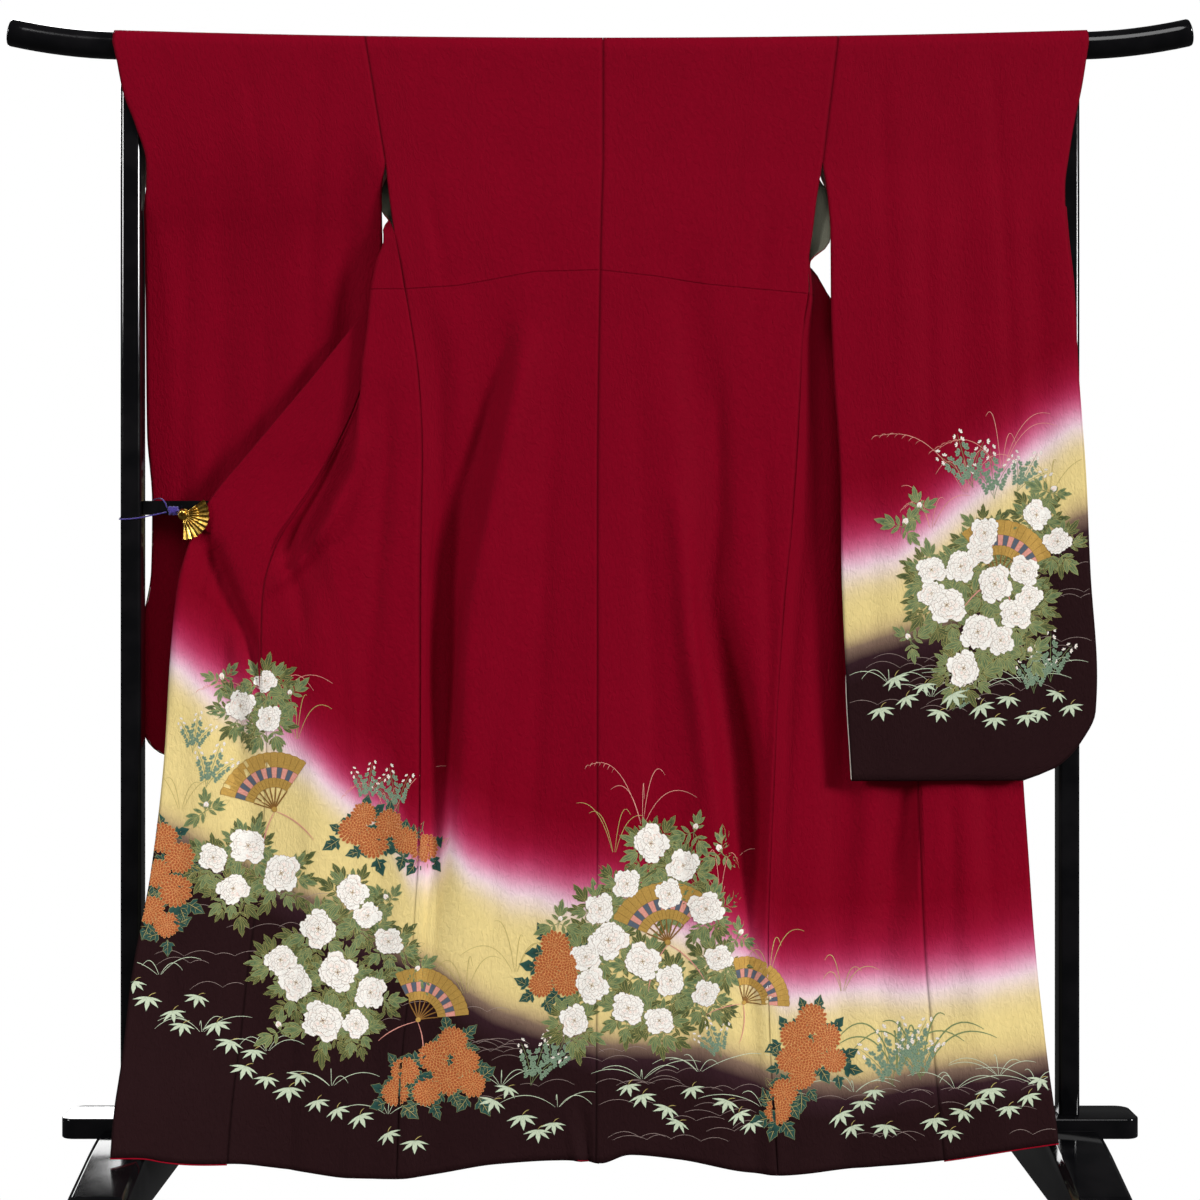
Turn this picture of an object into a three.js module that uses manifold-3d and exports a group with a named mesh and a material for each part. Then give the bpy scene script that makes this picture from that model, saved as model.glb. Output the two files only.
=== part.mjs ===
// Furisode kimono hung over the bar of a lacquered kimono stand, seen from its back.
// Millimetres, +Z up, the garment's back faces -Y, the origin is on the floor under the middle.
import * as THREE from 'three';
import * as BufferGeometryUtils from 'three/addons/utils/BufferGeometryUtils.js';
import Module from 'manifold-3d';

const wasm = await Module();
wasm.setup();

// ---- driving dimensions ----
const wall = 1.6; // cloth with its lining
const seamGap = 0.3; // between two pieces sewn together
const halfGap = seamGap / 2;

const stand = {
  barRadius: 19.5,
  barHalfLength: 851,
  barHeight: 1646, // centreline at mid length
  barRise: 11, // at the posts
  barTipRise: 14, // added from the bend to the tips
  barBendX: 700,
  postX: 674,
  postWidth: 30,
  postDepth: 38,
  midRail: { low: 980, high: 1000, depth: 20 },
  bottomRail: { low: 89, high: 118, depth: 88, halfLength: 770, corner: 20 },
  foot: { width: 82, top: 100, end: 58, halfLength: 245, flat: 46, bevel: 8 },
};
const drapeRadius = stand.barRadius + 1 + wall / 2; // middle of the cloth over the bar

const colour = { crimson: 0x88041f, lacquer: 0x0b0b0c, gilt: 0xc8a646, violet: 0x321488 };

// ---- tables and how they are read ----

// Turns a table into rows with named columns.
function table(names, rows) {
  return rows.map((row) => Object.fromEntries(names.map((name, i) => [name, row[i]])));
}

// One column of a table as a smooth function of height; the rows run from the top down.
function column(rows, name) {
  const z = rows.map((row) => row.z);
  const v = rows.map((row) => row[name]);
  const slope = z.map((_, i) => {
    if (i === 0 || i === z.length - 1) return 0;
    const above = (v[i] - v[i - 1]) / (z[i] - z[i - 1]);
    const below = (v[i + 1] - v[i]) / (z[i + 1] - z[i]);
    return above * below <= 0 ? 0 : (2 * above * below) / (above + below);
  });
  slope[0] = (v[1] - v[0]) / (z[1] - z[0]);
  slope[z.length - 1] = (v[z.length - 1] - v[z.length - 2]) / (z[z.length - 1] - z[z.length - 2]);
  return (height) => {
    const h = THREE.MathUtils.clamp(height, z[z.length - 1], z[0]);
    let i = 0;
    while (i < z.length - 2 && h < z[i + 1]) i += 1;
    const span = z[i + 1] - z[i];
    const t = (h - z[i]) / span;
    const a = v[i] * (1 + 2 * t) * (1 - t) ** 2 + v[i + 1] * t * t * (3 - 2 * t);
    return a + slope[i] * span * t * (1 - t) ** 2 + slope[i + 1] * span * t * t * (t - 1);
  };
}

// All columns of a table as functions of height.
function columns(names, rows) {
  const named = table(names, rows);
  return Object.fromEntries(names.slice(1).map((name) => [name, column(named, name)]));
}

const radians = THREE.MathUtils.degToRad;
const mix = THREE.MathUtils.lerp;
const steps = (count) => Array.from({ length: count + 1 }, (_, i) => i / count);

// Height of the bar's centreline: level in the middle, turned up at both ends.
function barZ(x) {
  const tip = Math.max(0, Math.abs(x) - stand.barBendX) / (stand.barHalfLength - stand.barBendX);
  return stand.barHeight + stand.barRise * (x / stand.barBendX) ** 2 + stand.barTipRise * tip ** 2;
}

// ---- cloth walls ----

// A closed wall of even thickness about a grid of points, rows by columns. A grid may start
// and end with a column of the next piece, which only gives the wall its direction there.
function clothWall(grid, { thickness = wall, before = 0, after = 0 } = {}) {
  const rows = grid.length;
  const cols = grid[0].length - before - after;
  const place = (c) => THREE.MathUtils.clamp(c + before, 0, grid[0].length - 1);
  const at = (r, c) => grid[THREE.MathUtils.clamp(r, 0, rows - 1)][place(c)];
  const positions = [];
  for (const face of [1, -1]) {
    for (let r = 0; r < rows; r += 1) {
      for (let c = 0; c < cols; c += 1) {
        const across = at(r, c + 1).clone().sub(at(r, c - 1));
        const along = at(r + 1, c).clone().sub(at(r - 1, c));
        const normal = across.cross(along).normalize();
        const point = at(r, c).clone().addScaledVector(normal, (face * thickness) / 2);
        positions.push(...point.toArray());
      }
    }
  }
  const half = rows * cols;
  const index = [];
  const quad = (a, b, c, d) => index.push(a, b, c, a, c, d);
  for (let r = 0; r < rows - 1; r += 1) {
    for (let c = 0; c < cols - 1; c += 1) {
      const i = r * cols + c;
      quad(i, i + 1, i + cols + 1, i + cols);
      quad(half + i, half + i + cols, half + i + cols + 1, half + i + 1);
    }
  }
  for (let c = 0; c < cols - 1; c += 1) {
    const last = (rows - 1) * cols + c;
    quad(c, half + c, half + c + 1, c + 1);
    quad(last, last + 1, half + last + 1, half + last);
  }
  for (let r = 0; r < rows - 1; r += 1) {
    const first = r * cols;
    const last = first + cols - 1;
    quad(first, first + cols, half + first + cols, half + first);
    quad(last, half + last, half + last + cols, last + cols);
  }
  const geometry = new THREE.BufferGeometry();
  geometry.setAttribute('position', new THREE.Float32BufferAttribute(positions, 3));
  geometry.setIndex(index);
  return geometry;
}

// ---- booleans ----

function toSolid(geometry) {
  let bare = geometry.clone();
  bare.deleteAttribute('normal');
  bare.deleteAttribute('uv');
  bare = BufferGeometryUtils.mergeVertices(bare, 1e-3);
  const mesh = new wasm.Mesh({
    numProp: 3,
    vertProperties: new Float32Array(bare.attributes.position.array),
    triVerts: new Uint32Array(bare.index.array),
  });
  return new wasm.Manifold(mesh);
}

function fromSolid(solid) {
  const mesh = solid.getMesh();
  const geometry = new THREE.BufferGeometry();
  geometry.setAttribute('position', new THREE.Float32BufferAttribute(mesh.vertProperties, 3));
  geometry.setIndex(Array.from(mesh.triVerts));
  return geometry;
}

const join = (...parts) => fromSolid(parts.map(toSolid).reduce((a, b) => a.add(b)));
const cut = (from, ...tools) => fromSolid([from, ...tools].map(toSolid).reduce((a, b) => a.subtract(b)));

// ---- the back ----

// The armhole: both edges are straight from the shoulder to its low end.
const shoulder = { z: 1668, left: -338, right: 342 };
const armhole = { z: 1483, left: -307, right: 318.5, near: -29.6, far: 19 };
const signOf = { left: -1, right: 1 };

// Distance down the armhole, 0 at the bar's centreline and 1 at the armhole's low end.
function downArmhole(z) {
  return THREE.MathUtils.clamp((stand.barHeight - z) / (stand.barHeight - armhole.z), 0, 1);
}

function armholeX(name, z) {
  return mix(shoulder[name], armhole[name], (shoulder.z - z) / (shoulder.z - armhole.z));
}

const armholeNear = (z) => mix(-drapeRadius, armhole.near, downArmhole(z));
const armholeFar = (z) => mix(drapeRadius, armhole.far, downArmhole(z));

// How far in front of the bar's axis the back hangs below the armholes, and its centre seam.
const back = columns(['z', 'y', 'centreX'], [
  [1483, armhole.near, 4],
  [1379, -37, 1],
  [1000, -46, -4],
  [600, -52, -4],
  [300, -58, -5],
  [30, -66, -6],
]);

// The back's edges below the armholes: the opening under the arm, then the side seam.
const side = {
  left: columns(['z', 'x'], [
    [1483, armhole.left], [1440, -302], [1379, -293],
    [1332, -283], [1290, -276], [1167, -258], [1059, -253], [948, -255], [700, -256],
    [528, -256], [419, -263], [309, -271], [200, -281], [30, -288],
  ]),
  right: columns(['z', 'x'], [
    [1483, armhole.right], [1427, 309], [1379, 303], [1340, 298],
    [1300, 299], [1243, 290], [1086, 281], [944, 271], [857, 262], [596, 247],
    [340, 238], [150, 244], [30, 252],
  ]),
};

// The hem's height across the back and both spread fronts.
const hemRows = [
  [-680, 89], [-632, 84.5], [-600, 76], [-560, 70], [-514, 66], [-420, 49], [-350, 39], [-288, 38], [-150, 59], [-40, 65],
  [0, 61], [42, 73], [110, 66], [252, 43], [330, 50], [479, 69], [560, 85], [645, 100],
];
const hemZ = column(hemRows.map(([x, z]) => ({ z: -x, h: z })), 'h');
const hemAt = (x) => hemZ(-x);

// Soft folds: a trough is positive, away from the viewer. Each fold has a half width and a
// path of rows with height, place across and depth.
function softFolds(set) {
  return set.map(({ width, path }) => ({ width, ...columns(['z', 'x', 'depth'], path) }));
}

// The back's largest soft folds.
const folds = softFolds([
  {
    width: 26,
    path: [
      [1330, -140, 0], [1140, -172, 9], [1000, -196, 14], [857, -220, 17],
      [640, -232, 22], [530, -243, 24], [360, -250, 10], [60, -248, 4],
    ],
  },
  {
    width: 34,
    path: [
      [1350, -100, 0], [1220, -102, -5], [1000, -135, -9], [857, -156, -12],
      [700, -182, -12], [568, -200, -10], [300, -190, -3], [60, -180, -2],
    ],
  },
  {
    width: 26,
    path: [
      [1360, 120, 0], [1270, 126, 5], [1010, 150, 9], [857, 163, 12],
      [690, 191, 18], [480, 215, 22], [370, 224, 18], [140, 230, 7],
    ],
  },
  {
    width: 34,
    path: [
      [1350, 70, 0], [1140, 100, -4], [910, 122, -8], [700, 148, -10],
      [500, 160, -9], [300, 170, -5], [60, 175, -2],
    ],
  },
  { width: 60, path: [[1380, 20, 0], [1100, 18, -5], [700, 8, -8], [400, 10, -7], [60, 20, -4]] },
]);

// Depth of a set of soft folds at one place.
function foldSum(set, x, z) {
  return set.reduce((sum, f) => sum + f.depth(z) * Math.exp(-(((x - f.x(z)) / f.width) ** 2)), 0);
}

// Depth that the soft folds add, fading out towards the side seams.
function foldDepth(x, z) {
  const edge = x < 0 ? x - side.left.x(z) : side.right.x(z) - x;
  const fade = THREE.MathUtils.smoothstep(edge, 2, 30);
  return fade * foldSum(folds, x, z);
}

const sideX = (name, z) => (z >= armhole.z ? armholeX(name, z) : side[name].x(z));

function backPoint(x, z) {
  const y = z >= armhole.z ? armholeNear(z) : back.y(z) + foldDepth(x, z);
  return new THREE.Vector3(x, y, z);
}

// ---- the fronts ----

// A front's horizontal sections. Each starts at the side seam (or the armhole edge above it),
// and runs along three straight legs with two turns between them to the free edge. Headings
// are in degrees: 0 to the right, 90 away from the viewer, 180 to the left.
const sectionNames = [
  'z', 'sideX', 'sideY', 'head1', 'leg1', 'head2', 'leg2', 'head3', 'edgeX', 'edgeY', 'okumi',
];
const front = {
  left: columns(sectionNames, [
    [1616, -334, 21, 0, 60, 0, 90, 0, -88, 21, 3],
    [1560, -321, 20.5, 0, 50, 0, 70, 0, -118, 20, 3],
    [1483, armhole.left, armhole.far, 2, 30, 0, 60, 0, -168, 14, 3],
    [1440, -317, 0, 6, 16, 0, 50, 0, -202, 2, 3],
    [1420, -316, -3, 8, 14, 0, 46, 0, -218, -5, 3],
    [1408, -308, -16, 60, 13, 0, 44, 4, -227, -10, 3],
    [1395, -298, -34, 130, 13, 0, 42, 10, -236, -15, 3],
    [1379, -293, -37, 176, 12, 0, 42, 30, -247, -18, 3],
    [1340, -285, -38, 180, 30, 0, 38, 110, -282, -17, 4],
    [1300, -278, -39, 180, 45, 0, 46, 178, -313, -19, 8],
    [1277, -273, -40, 180, 52, 0, 50, 180, -332, -21, 20],
    [1230, -265, -41, 180, 65, 0, 50, 180, -370, -22, 46],
    [1170, -258, -43, 180, 80, 0, 46, 180, -418, -23, 80],
    [1110, -254, -44, 180, 88, 2, 34, 180, -469, -23, 108],
    [1066, -253, -45, 180, 86, 10, 14, 180, -506, -23, 123],
    [1040, -253, -45, 180, 90, 55, 6, 180, -528, -23, 131],
    [1000, -254, -46, 180, 104, 110, 6, 180, -560, -23, 138],
    [945, -255, -47, 180, 130, 145, 8, 180, -586, -24, 128],
    [880, -256, -48, 180, 120, 170, 20, 180, -604, -28, 125],
    [780, -256, -50, 180, 100, 180, 40, 180, -613, -34, 131],
    [638, -256, -52, 180, 90, 180, 50, 180, -620, -44, 146],
    [478, -259, -54, 180, 80, 180, 60, 180, -635, -62, 152],
    [319, -270, -58, 180, 75, 180, 60, 180, -659, -88, 160],
    [218, -280, -60, 180, 70, 180, 60, 180, -666, -113, 160],
    [150, -285, -63, 180, 70, 180, 55, 180, -672, -136, 162],
    [30, -288, -66, 180, 70, 180, 55, 180, -677, -158, 163],
  ]),
  right: columns(sectionNames, [
    [1616, 338, 21, 180, 60, 180, 90, 180, 88, 21, 3],
    [1560, 326, 20.5, 180, 50, 180, 70, 180, 118, 20, 3],
    [1483, armhole.right, armhole.far, 178, 30, 180, 55, 180, 168, 14, 3],
    [1468, 316, 5, 176, 20, 178, 50, 179, 180, 9, 3],
    [1440, 328, -15, 172, 16, 176, 48, 178, 202, 2, 3],
    [1412, 329, -25, 166, 16, 170, 44, 174, 224, -3, 3],
    [1379, 330, -34, 162, 18, 162, 34, 170, 248, 3, 3],
    [1364, 326, -37, 150, 18, 158, 24, 165, 266, 4, 3],
    [1350, 310, -39, 112, 17, 130, 12, 120, 286, 5, 3],
    [1340, 298, -39, 84, 16, 96, 6, 80, 301, 6, 4],
    [1300, 299, -41, 70, 12, 48, 8, 30, 330, 4, 8],
    [1277, 296, -42, 62, 12, 32, 12, 18, 349, 2, 20],
    [1230, 288, -42, 58, 12, 10, 22, 0, 385, -3, 46],
    [1143, 284, -43, 52, 16, 0, 36, 0, 448, -12, 92],
    [1066, 280, -44, 50, 18, 0, 50, 0, 505, -17, 118],
    [971, 273, -46, 50, 20, 0, 60, 0, 566, -21, 125],
    [857, 262, -48, 45, 20, 0, 60, 0, 588, -23, 132],
    [700, 251, -50, 40, 20, 0, 60, 0, 600, -26, 142],
    [600, 247, -52, 35, 20, 0, 60, 0, 605, -31, 150],
    [500, 242, -54, 28, 20, 0, 60, 0, 610, -42, 153],
    [370, 238, -56, 20, 20, 0, 60, 0, 616, -60, 156],
    [218, 241, -60, 5, 20, 0, 60, 0, 628, -86, 158],
    [120, 248, -63, 0, 20, 0, 60, 0, 638, -106, 161],
    [30, 252, -66, 0, 20, 0, 60, 0, 646, -118, 162],
  ]),
};

// Soft folds of the spread fronts, in the same form as the back's.
const frontFolds = {
  left: softFolds([
    {
      width: 24,
      path: [
        [960, -575, 0], [900, -560, 9], [760, -540, 15], [620, -515, 13],
        [480, -500, 6], [60, -500, 2],
      ],
    },
    {
      width: 30,
      path: [
        [900, -400, 0], [760, -395, -7], [560, -400, -9], [300, -410, -5],
        [60, -420, -2],
      ],
    },
    { width: 30, path: [[860, -320, 0], [640, -318, 8], [420, -322, 10], [200, -330, 6], [60, -330, 2]] },
  ]),
  right: softFolds([
    { width: 28, path: [[1150, 360, 0], [900, 360, 10], [600, 352, 16], [400, 345, 12], [60, 345, 3]] },
    {
      width: 26,
      path: [
        [900, 430, 0], [620, 425, 9], [480, 416, 16], [370, 400, 12],
        [200, 395, 5], [60, 395, 2],
      ],
    },
    { width: 34, path: [[700, 525, 0], [600, 525, -2], [450, 530, -9], [200, 545, -6], [60, 550, -2]] },
  ]),
};

const legSteps = 2;
const turnSteps = 3;
const turnStep = 4.2; // each of a turn's three steps
const bodySteps = 13; // columns of a body panel, the same on its back and its front
const okumiSteps = 4;
const bodyEndSteps = bodySteps - 2 * legSteps - 2 * turnSteps;

// Points of one front section from the side to the free edge, split at the okumi seam.
function frontSection(name, z) {
  const row = front[name];
  const sewn = z >= armhole.z;
  const start = sewn ? armholeX(name, z) - signOf[name] * halfGap : row.sideX(z);
  const p = new THREE.Vector2(start, sewn ? armholeFar(z) : row.sideY(z));
  const heads = [row.head1(z), row.head2(z), row.head3(z)];
  const legs = [row.leg1(z), row.leg2(z)];
  const points = [p.clone()];
  const go = (head, length) => {
    p.add(new THREE.Vector2(Math.cos(radians(head)), Math.sin(radians(head))).multiplyScalar(length));
    points.push(p.clone());
  };
  for (const k of [0, 1]) {
    for (let i = 0; i < legSteps; i += 1) go(heads[k], legs[k] / legSteps);
    for (let i = 0; i < turnSteps; i += 1) go(mix(heads[k], heads[k + 1], (i + 0.5) / turnSteps), turnStep);
  }
  const edge = new THREE.Vector2(row.edgeX(z), row.edgeY(z));
  const length = edge.distanceTo(p);
  const okumi = Math.min(row.okumi(z), length - 4);
  const toward = (distance) => p.clone().lerp(edge, distance / length);
  const ripple = (q) => {
    const fade = THREE.MathUtils.smoothstep(Math.abs(q.x - row.sideX(z)), 4, 30);
    const edgeFade = THREE.MathUtils.smoothstep(Math.abs(q.x - row.edgeX(z)), 0, 40);
    return new THREE.Vector3(q.x, q.y + foldSum(frontFolds[name], q.x, z) * fade * edgeFade, z);
  };
  const seam = length - okumi;
  for (const t of steps(bodyEndSteps).slice(1)) points.push(toward((seam - halfGap) * t));
  const panel = steps(okumiSteps).map((t) => toward(mix(seam + halfGap, length, t)));
  return { body: points.map(ripple), okumi: panel.map(ripple) };
}

// Heights of the rows: fixed at the shoulder, then even down to the hem under each point.
const backLevels = [1629, 1580, 1530, 1483, 1430, 1379];
const frontLevels = [1616, 1580, 1530, 1483, 1468, 1452, 1430, 1410, 1394, 1379, 1358, 1336, 1316, 1300, 1288];
const okumiLevels = frontLevels.slice(-1);
const backLowRows = 12;
const frontLowRows = 16;
const barRows = 6;

// Rows down a piece: first the fixed heights, then even shares of the way to the hem.
function rowsDown(levels, lowRows, rowAt) {
  const last = levels[levels.length - 1];
  const upper = levels.map((z) => rowAt(() => z));
  const lower = steps(lowRows).slice(1).map((t) => rowAt((x) => mix(last, hemAt(x), t)));
  return [...upper, ...lower];
}

// One row of a front, whose points may lie at different heights.
function frontRow(name, piece, heightAt) {
  const rough = frontSection(name, heightAt(signOf[name] * 450))[piece];
  return rough.map((p, i) => frontSection(name, heightAt(p.x))[piece][i]);
}

// The back of a body panel from its hem to the bar, over it and down to the far side.
function bodyBack(name) {
  const gap = signOf[name] * halfGap;
  const acrossX = (z, s) => mix(back.centreX(z) + gap, sideX(name, z) - (z >= armhole.z ? gap : 0), s);
  const ghosts = [-1 / bodySteps, ...steps(bodySteps)];
  const row = (heightAt) => ghosts.map((s) => {
    const z = heightAt(acrossX(60, s));
    return backPoint(acrossX(z, s), z);
  });
  const over = steps(barRows).map((t) => ghosts.map((s) => {
    const angle = Math.PI * (1 - t);
    const x = acrossX(barZ(shoulder[name] * s) + drapeRadius * Math.sin(angle), s);
    return new THREE.Vector3(x, drapeRadius * Math.cos(angle), barZ(x) + drapeRadius * Math.sin(angle));
  }));
  return [...rowsDown(backLevels, backLowRows, row).reverse(), ...over];
}

// The front of a body panel from the far side of the bar to its hem, round the neck at first.
function bodyFront(name) {
  const sign = signOf[name];
  const top = frontLevels[0];
  const below = frontSection(name, top).body;
  const centre = back.centreX(shoulder.z) + sign * 1.2;
  const neck = steps(3).slice(0, -1).map((t) => below.map((p, i) => {
    const z = mix(barZ(p.x), top, t);
    const outer = armholeX(name, z) - sign * halfGap;
    const x = mix(outer, mix(centre, sign * 84, Math.sqrt(t)), i / bodySteps);
    return new THREE.Vector3(mix(x, p.x, i ? t * t : 0), drapeRadius, z);
  }));
  const rows = rowsDown(frontLevels, frontLowRows, (heightAt) => {
    const okumi = frontRow(name, 'okumi', heightAt);
    return [...frontRow(name, 'body', heightAt), okumi[1]];
  });
  const ghost = (row) => [...row, row[row.length - 1].clone().lerp(row[row.length - 2], -1)];
  return [...neck.map(ghost), ...rows];
}

function bodyPanel(name) {
  return join(clothWall(bodyBack(name), { before: 1 }), clothWall(bodyFront(name), { after: 1 }));
}

function okumiPanel(name) {
  const rows = rowsDown(okumiLevels, frontLowRows, (heightAt) => {
    const body = frontRow(name, 'body', heightAt);
    return [body[body.length - 2], ...frontRow(name, 'okumi', heightAt)];
  });
  return clothWall(rows, { before: 1 });
}

// ---- sleeves ----

const sleeveNames = ['z', 'inX', 'outX', 'nearIn', 'nearOut', 'farX', 'farIn', 'farOut'];
const sleeve = {
  left: columns(sleeveNames, [
    [1668, -338, -699, -21.3, -21.3, -699, 21.3, 21.3],
    [1632, -333, -693, -21.6, -21.8, -694, 21.3, 21.8],
    [1583, -324, -683, -24, -22.5, -690, 20.5, 22.5],
    [1538, -316, -666, -27, -22.5, -688, 19.8, 23],
    [1483, armhole.left, -651, armhole.near, -22, -680, armhole.far, 23],
    [1450, -312, -649, -24, -16, -657, 20, 24],
    [1434, -313, -649, -20, -12, -651, 19, 19],
    [1418, -313, -649, -17, -7, -649, 18, 4],
    [1380, -313, -648, -10, -2, -648, 14, 8],
    [1332, -313, -648, -4, 2, -648, 12, 12],
    [1200, -315, -647, 6, 8, -647, 18, 18],
    [1100, -317, -647, 11, 12, -647, 23, 22],
    [1002, -320, -648, 14, 22, -648, 26, 32],
    [900, -322, -652, 14, 25, -652, 26, 35],
    [800, -324, -668, 13, 25, -668, 25, 35],
    [720, -326, -670, 12, 25, -670, 24, 35],
    [680, -326, -668, 12, 25, -668, 24, 35],
    [650, -327, -656, 12, 24, -656, 24, 34],
    [636, -327, -640, 12, 23, -640, 24, 33],
    [628, -327, -618, 12, 20, -618, 24, 30],
  ]),
  right: columns(sleeveNames, [
    [1668, 342, 701, -21.3, -21.3, 701, 21.3, 21.3],
    [1632, 337, 697, -21.6, -22, 698, 21.3, 21.8],
    [1600, 332.5, 692, -23, -23, 680, 20.8, 23],
    [1575, 329, 687, -24, -24, 656, 20, 23],
    [1550, 325.5, 681, -26, -25, 644, 19.6, 15],
    [1483, armhole.right, 669, armhole.near, -30, 640, armhole.far, -8],
    [1450, 323, 664, -34, -35, 648, 2, -22],
    [1418, 326, 663, -39, -40, 663, -10, -29],
    [1383, 328, 665, -44, -44, 665, -24, -33],
    [1302, 328, 673, -48, -46, 673, -34, -35],
    [1193, 331, 678, -51, -48, 678, -39, -37],
    [1031, 341, 689, -53, -50, 689, -41, -39],
    [894, 343, 695, -54, -51, 695, -42, -40],
    [749, 349, 704, -55, -52, 704, -43, -41],
    [699, 351, 702, -55, -52, 702, -43, -41],
    [654, 354, 680, -55, -52, 680, -43, -41],
    [621, 356, 647, -55, -52, 647, -43, -42],
    [603, 357, 601, -55, -53, 601, -43, -43],
  ]),
};
const sleeveHeights = {
  left: [
    1629, 1580, 1530, 1483, 1458, 1434, 1418, 1380, 1332, 1266, 1200, 1100, 1002, 900, 800,
    720, 680, 650, 636, 628,
  ],
  right: [
    1629, 1600, 1575, 1550, 1515, 1483, 1450, 1418, 1383, 1302, 1193, 1110, 1031, 894, 749,
    699, 670, 645, 621, 603,
  ],
};
const cuffLow = 1418; // the cuff is open from the shoulder down to here
const sleeveFolds = {
  left: softFolds([
    {
      width: 22,
      path: [
        [1600, -350, 0], [1400, -358, 7], [1200, -362, 9], [1100, -372, 4],
        [900, -380, 2], [628, -380, 0],
      ],
    },
    { width: 30, path: [[1560, -440, 0], [1400, -446, -4], [1100, -450, -3], [628, -450, -1]] },
    { width: 24, path: [[1600, -540, 0], [1300, -546, 5], [1000, -550, 6], [628, -550, 3]] },
  ]),
  right: softFolds([
    { width: 28, path: [[1560, 420, 0], [1300, 424, -4], [1000, 428, -3], [603, 432, -2]] },
    { width: 26, path: [[1560, 520, 0], [1300, 516, 4], [1000, 520, 2], [603, 524, 1]] },
    { width: 26, path: [[1500, 622, 0], [1300, 628, 6], [1000, 634, 6], [603, 630, 2]] },
  ]),
};
const sleeveSteps = 8;

// A point of a sleeve's near or far layer, s across from the body to the cuff side.
function sleevePoint(name, layer, z, s) {
  const row = sleeve[name];
  const near = layer === 'near';
  const sewn = z >= armhole.z;
  const inner = sewn ? armholeX(name, z) + signOf[name] * halfGap : row.inX(z);
  const x = mix(inner, near ? row.outX(z) : row.farX(z), s);
  const sewnY = near ? armholeNear(z) : armholeFar(z);
  const innerY = near ? row.nearIn(z) : row.farIn(z);
  const y = mix(sewn ? sewnY : innerY, near ? row.nearOut(z) : row.farOut(z), s ** 2);
  const fade = THREE.MathUtils.smoothstep(s, 0, 0.2) * THREE.MathUtils.smoothstep(1 - s, 0, 0.2);
  return new THREE.Vector3(x, y + foldSum(sleeveFolds[name], x, z) * fade, z);
}

function sleeveSheet(name) {
  const heights = sleeveHeights[name];
  const layerRow = (layer) => (z) => steps(sleeveSteps).map((s) => sleevePoint(name, layer, z, s));
  const over = steps(barRows).map((t) => {
    const angle = Math.PI * (1 - t);
    const rise = drapeRadius * Math.sin(angle);
    const inner = armholeX(name, barZ(shoulder[name]) + rise) + signOf[name] * halfGap;
    return steps(sleeveSteps).map((s) => {
      const x = mix(inner, sleeve[name].outX(shoulder.z), s);
      return new THREE.Vector3(x, drapeRadius * Math.cos(angle), barZ(x) + rise);
    });
  });
  return [...[...heights].reverse().map(layerRow('near')), ...over, ...heights.map(layerRow('far'))];
}

// The closed edge: from the end of the cuff down, round the corner and along the bottom.
function sleeveEdge(name) {
  const sign = signOf[name];
  const closed = sleeveHeights[name].filter((z) => z <= cuffLow);
  const low = closed[closed.length - 1];
  const sideRows = closed.map((z) => ({ z, s: 1 }));
  const lowRows = steps(sleeveSteps).reverse().slice(1).map((s) => ({ z: low, s }));
  const path = [...sideRows, ...lowRows].map(({ z, s }) => ({
    near: sleevePoint(name, 'near', z, s),
    far: sleevePoint(name, 'far', z, s),
  }));
  return path.map(({ near, far }, i) => {
    const before = path[Math.max(0, i - 1)].near;
    const after = path[Math.min(path.length - 1, i + 1)].near;
    const along = after.clone().sub(before).setY(0).normalize();
    const out = new THREE.Vector3(-sign * along.z, 0, sign * along.x).multiplyScalar(-1);
    const reach = far.y - near.y;
    return steps(4).map((t) => {
      const p = near.clone().lerp(far, t);
      return p.addScaledVector(out, -0.4 + (0.4 + reach * 0.35) * Math.sin(Math.PI * t));
    });
  });
}

function sleevePiece(name) {
  return join(clothWall(sleeveSheet(name)), clothWall(sleeveEdge(name)));
}

// ---- collar ----

// The collar lies turned in behind both free edges, and hangs down behind the neck.
const collarWidth = 55;
const collarLow = 962; // where it ends on the free edges
const collarRows = 16;
const collarOffset = wall + 1.1; // between the middles of the collar and of the panel before it

// Depth of a front's own edge panel at one place, or of its free edge past the panel.
function edgeDepth(name, x, z) {
  const points = frontSection(name, z).okumi;
  const from = Math.abs(points[0].x);
  const to = Math.abs(points[okumiSteps].x);
  const share = THREE.MathUtils.clamp((Math.abs(x) - from) / (to - from), 0, 1) * okumiSteps;
  const i = Math.min(okumiSteps - 1, Math.floor(share));
  return mix(points[i].y, points[i + 1].y, share - i);
}

function collarPiece() {
  const edgeOf = (name) => steps(collarRows).map((t) => {
    const z = mix(collarLow, 1612, t);
    return { name, at: new THREE.Vector3(front[name].edgeX(z), front[name].edgeY(z), z) };
  });
  const neck = [-60, -25, 25, 60].map((x) => {
    const z = barZ(x) - mix(4, 14, Math.abs(x) / 60);
    return { at: new THREE.Vector3(x, drapeRadius, z) };
  });
  const path = [...edgeOf('left'), ...neck, ...edgeOf('right').reverse()];
  const rows = path.map(({ name, at }, i) => {
    const after = path[Math.min(path.length - 1, i + 1)].at;
    const along = after.clone().sub(path[Math.max(0, i - 1)].at).setY(0).normalize();
    const down = new THREE.Vector3(along.z, 0, -along.x);
    return steps(3).map((t) => {
      const p = at.clone().addScaledVector(down, mix(2, collarWidth, t));
      const depth = name ? Math.max(at.y, edgeDepth(name, p.x, p.z)) : at.y;
      return p.setY(depth + collarOffset);
    });
  });
  return clothWall(rows);
}

// ---- stand ----

function boxAt([x0, x1], [y0, y1], [z0, z1]) {
  const box = new THREE.BoxGeometry(x1 - x0, y1 - y0, z1 - z0);
  return box.translate((x0 + x1) / 2, (y0 + y1) / 2, (z0 + z1) / 2);
}

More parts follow.
